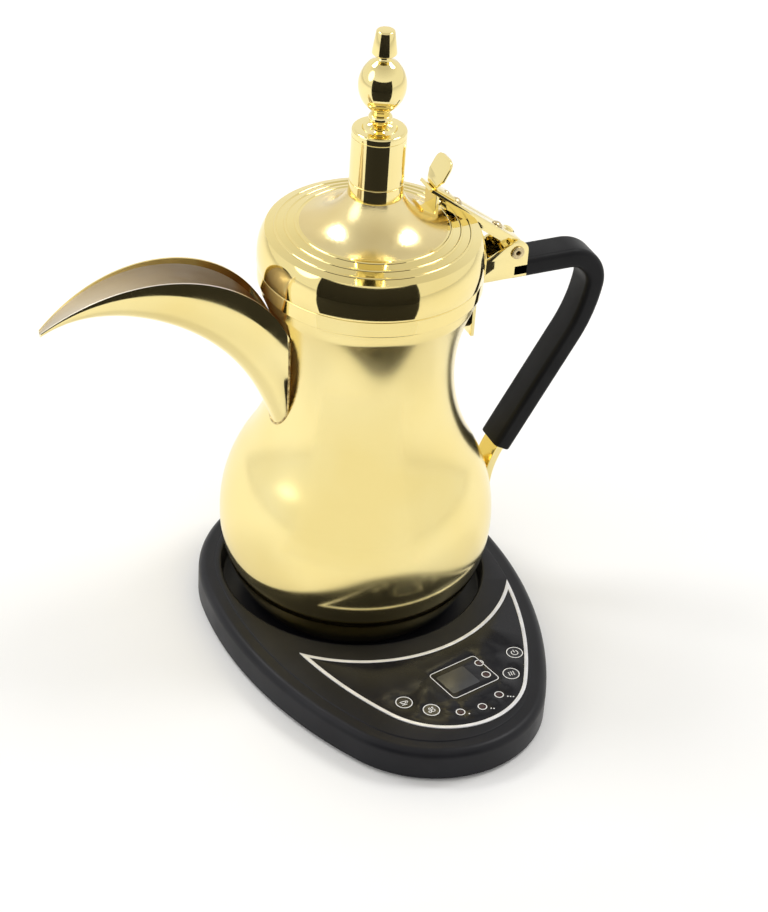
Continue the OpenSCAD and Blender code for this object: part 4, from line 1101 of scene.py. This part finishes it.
piece(cut_sheet([[crescent(0)] + key_holes + outside_lamps
                 + [rounded_box(*display_at, *[d + 2 * seam_gap for d in display_size], 2.0,
                                display_tilt)]], recess_z + 0.01, film_top, 0.06),
      "panel_film", "base", [film], ["panel_overlay"])
piece(cut_sheet([[crescent(-border_w), crescent(-seam_gap)]], recess_z + 0.01, border_top, 0.1),
      "panel_border_foil", "base", [silver], ["panel_border"])
piece(cut_sheet([[display] + window_lamps], recess_z + 0.01, film_top, 0.06),
      "display_window", "base", [film], ["display_lens"])

domes = bmesh.new()
for x, y in lamps:
    turned_dome = turned([(0, film_top - 1.5), (lamp_r, film_top - 1.5), (lamp_r, film_top - 0.1)]
                         + arc(lamp_r - 0.25, film_top - 0.25, 0.25, 20, 90, 4)
                         + [(lamp_r * 0.5, film_top + 0.02), (0, film_top + 0.04)],
                         steps=32, closed=False)
    bmesh.ops.translate(turned_dome, verts=turned_dome.verts, vec=(x, y, 0))
    add_to(domes, turned_dome)
piece(domes, "status_lamps", "base", [lamp], ["status_leds"])

# %% [markdown]
# The white marks are screen printed. Each is a real layer of ink, three hundredths of a
# millimetre thick: a ring round every lamp, an outline in the display window,
# and small dots, one to three, that number the cup sizes.

# %% Printed marks
ink_t = 0.03


def ring_loops(cx, cy, r, width, count=48):
    return [circle(cx, cy, r, count), circle(cx, cy, r - width, count)]


def bar_loops(cx, cy, w, h, tilt=0.0):
    return [rounded_box(cx, cy, w, h, min(w, h) * 0.45, tilt, 3)]


lamp_ring = lamp_r + 0.55
marks = [ring_loops(x, y, lamp_ring, 0.42) for x, y in lamps]
outline_w, outline_h = display_size[0] - 0.6, display_size[1] - 0.6
marks.append([rounded_box(*display_at, outline_w, outline_h, 1.9, display_tilt),
              rounded_box(*display_at, outline_w - 0.7, outline_h - 0.7, 1.6, display_tilt)])
for count, (x, y) in enumerate(lamps[2:], start=1):
    for k in range(count):
        marks.append([circle(x + 3.2 + 1.15 * k, y - 2.4 - 0.55 * k, 0.36, 16)])
piece(cut_sheet(marks, film_top, film_top + ink_t), "panel_marks", "base", [ink])

# %% [markdown]
# The liquid crystal behind the window is a dim grey field when it is off. It is a thin sheet of
# its own, so that it can have a finish a little lighter than the film's.

# %% The dim field in the window
c, s = cos(radians(display_tilt)), sin(radians(display_tilt))
lcd_at = (display_at[0] - 3.6 * c, display_at[1] - 3.6 * s)
lcd = cut_sheet([[rounded_box(*lcd_at, 15.5, 13.0, 0.8, display_tilt)]],
                film_top, film_top + 0.02)
piece(lcd, "display_crystal", "base", [crystal])

# %% [markdown]
# # The keys
# Four round keys sit in the film, flush with it, and each moves on its own. A key is a turned
# cap with a flange that keeps it in its hole. A white ring is printed round its edge, and a
# small picture tells what it does: a power sign, three rising waves of warmth, a cup, and
# bubbles. Each picture is a few bars and rings of ink that ride on the same key.

# %% The key caps and their pictures
key_low, key_top = low_of("button_on").z, high_of("button_on").z


def arc_band(cx, cy, r, width, start, end, count=16):
    outer = arc(cx, cy, r, start, end, count)
    return [outer + arc(cx, cy, r - width, end, start, count)]


def picture(name, x, y):
    line = 0.34
    if name == "on":
        return [arc_band(x, y - 0.1, 1.7, line, 125, 415, 24), bar_loops(x, y + 1.0, line, 1.9)]
    if name == "warm":
        waves = []
        for dx in (-1.1, 0, 1.1):
            waves.append(arc_band(x + dx - 0.28, y + 0.72, 0.8, line, -62, 62, 10))
            waves.append(arc_band(x + dx + 0.66, y - 0.62, 0.8, line, 118, 242, 10))
        return waves
    if name == "brew":
        return [arc_band(x - 0.3, y + 0.6, 1.5, line, 180, 360, 16), bar_loops(x - 0.3, y + 0.6, 3.3, line),
                arc_band(x + 1.25, y + 0.1, 0.65, line * 0.8, -110, 90, 10),
                bar_loops(x - 0.3, y - 1.5, 2.6, line)]
    bubbles = [(-1.0, -0.9, 0.75), (0.7, -0.4, 0.95), (-0.5, 1.0, 0.6), (1.0, 1.4, 0.45)]
    return [ring_loops(x + dx, y + dy, r, 0.28, 24) for dx, dy, r in bubbles]


for name, (x, y) in keys.items():
    cap = turned([(0, key_low), (key_r + 0.9, key_low), (key_r + 1, key_low + 0.1),
                  (key_r + 1, key_low + 0.9), (key_r + 0.9, key_low + 1), (key_r, key_low + 1),
                  (key_r, key_top - 0.3)]
                 + arc(key_r - 0.3, key_top - 0.3, 0.3, 0, 90, 6)
                 + [(key_r - 0.6, key_top), (key_r - 1.1, key_top - 0.02), (0, key_top - 0.02)],
                 steps=72, closed=False)
    bmesh.ops.translate(cap, verts=cap.verts, vec=(x, y, 0))
    body = "key_" + name
    piece(cap, "cap_" + name, body, [key_black], ["button_" + name])
    loops = [ring_loops(x, y, key_r - 0.12, 0.4, 64)] + picture(name, x, y)
    piece(cut_sheet(loops, key_top - 0.02, key_top + ink_t), "mark_" + name, body, [ink])

# %% [markdown]
# # Floor, light and camera
# The studio is plain: a pale floor that runs out of sight and a bright tent of white light.
# Polished metal shows nothing but its surroundings, so the surroundings matter as much as the
# metal. A large curved card lies in front, as dark as the room behind a camera is. It never
# shows in the picture itself, only as the dark shapes in the lid's skirt, the column and the
# finial that give polished gold its depth. The broad body would look dirty with that dark in
# it, so the card also glows, and light linking lets only the body, its collar and the
# handle's bar see the glow.

# %% The floor
floor_bm = bmesh.new()
bmesh.ops.create_grid(floor_bm, x_segments=4, y_segments=4, size=4.0)
paper = Finish("floor_paper", (0.9, 0.9, 0.9), roughness=0.8)
paper.colour(paper.noise(6), [(0.3, (0.89, 0.89, 0.89)), (0.7, (0.91, 0.91, 0.91))])
floor = in_scene("floor", mesh_from(floor_bm, "floor"))
floor.data.materials.append(paper.material)

# %% The dark card
view_azimuth, view_elevation, view_roll = -26.2, 35.0, 4.07
card_near, card_far, card_height = 0.21, 0.80, 0.55
card_half_turn = 48.0

card = bmesh.new()
start = radians(-90 + view_azimuth - card_half_turn)
profile = [(card_near, 0.002), (card_far, 0.002), (card_far, card_height)]
ends = [card.verts.new((r * cos(start), r * sin(start), z)) for r, z in profile]
edges = [card.edges.new(pair) for pair in zip(ends, ends[1:])]
bmesh.ops.spin(card, geom=ends + edges, cent=(0, 0, 0), axis=(0, 0, 1), dvec=(0, 0, 0),
               angle=radians(2 * card_half_turn), steps=40, use_merge=False)
felt = Finish("card_felt", (0.008, 0.007, 0.006), roughness=0.9)
felt.shader.inputs["Emission Color"].default_value = (1.0, 0.99, 0.96, 1)
felt.shader.inputs["Emission Strength"].default_value = 0.96
dark_card = in_scene("dark_card", mesh_from(card, "dark_card"))
dark_card.data.materials.append(felt.material)
for seen_by in ("visible_camera", "visible_diffuse", "visible_shadow", "visible_transmission"):
    setattr(dark_card, seen_by, False)

glow_seen_by = bpy.data.collections.new("glow_seen_by")
for name in ("pot_body", "handle_bar", "mouth_collar"):
    glow_seen_by.objects.link(bpy.data.objects[name])
dark_card.light_linking.receiver_collection = glow_seen_by

# %% [markdown]
# The world is the tent. Its walls are white and its roof is greyer, which is what lets the
# lid's cone fall darker than the body. Two soft boxes stand high behind the pot, left and
# right, where the cone's slopes send them on to the camera as two broad streaks. A third, low
# at the left, keeps a soft edge on the black plastic.

# %% The tent and the lights
world = bpy.data.worlds.new("tent")
bpy.context.scene.world = world
world.use_nodes = True
tree = world.node_tree
tent = tree.nodes["Background"]
direction = tree.nodes.new("ShaderNodeTexCoord")
split = tree.nodes.new("ShaderNodeSeparateXYZ")
height = tree.nodes.new("ShaderNodeValToRGB")
stops = height.color_ramp.elements
stops[0].position, stops[0].color = 0.45, (1.0, 0.995, 0.98, 1)
stops[1].position, stops[1].color = 0.95, (0.68, 0.66, 0.62, 1)
tree.links.new(direction.outputs["Generated"], split.inputs[0])
tree.links.new(split.outputs["Z"], height.inputs["Fac"])
tree.links.new(height.outputs["Color"], tent.inputs["Color"])
tent.inputs["Strength"].default_value = 0.95


def area_light(name, at, size, power, towards=(0, 0, 0.1)):
    light = bpy.data.lights.new(name, "AREA")
    light.shape, light.size, light.energy = "DISK", size, power
    made = in_scene(name, light)
    made.location = at
    made.rotation_mode = "QUATERNION"
    made.rotation_quaternion = (Vector(towards) - Vector(at)).to_track_quat("-Z", "Y")


area_light("left_softbox", (-0.62, 0.77, 1.45), 0.55, 7)
area_light("right_softbox", (0.98, -0.02, 1.45), 0.55, 7)
area_light("low_softbox", (-1.4, 0.1, 0.9), 0.9, 3)

# %% [markdown]
# The camera looks down on the pot from the front left, with a long lens, as a product
# photographer would: near enough to see the panel, far enough to keep the lines straight.
# It is also turned a little about its own axis.

# %% The camera
aim = Vector((0, -0.0265, 0.0961))
distance = 1.134
lens = 99.08
a, e = radians(view_azimuth), radians(view_elevation)
back = Vector((sin(a) * cos(e), -cos(a) * cos(e), sin(e)))
camera_data = bpy.data.cameras.new("camera")
camera_data.sensor_fit = "VERTICAL"
camera_data.sensor_height = 36.0
camera_data.lens = lens
camera_data.clip_start, camera_data.clip_end = 0.05, 50.0
camera = in_scene("camera", camera_data)
camera.location = aim + back * distance
camera.rotation_mode = "QUATERNION"
straight = (-back).to_track_quat("-Z", "Y")
roll = Matrix.Rotation(radians(view_roll), 4, back).to_quaternion()
camera.rotation_quaternion = roll @ straight
bpy.context.scene.camera = camera
bpy.context.scene.view_settings.view_transform = "Standard"
print("camera at", [round(c, 3) for c in camera.location])
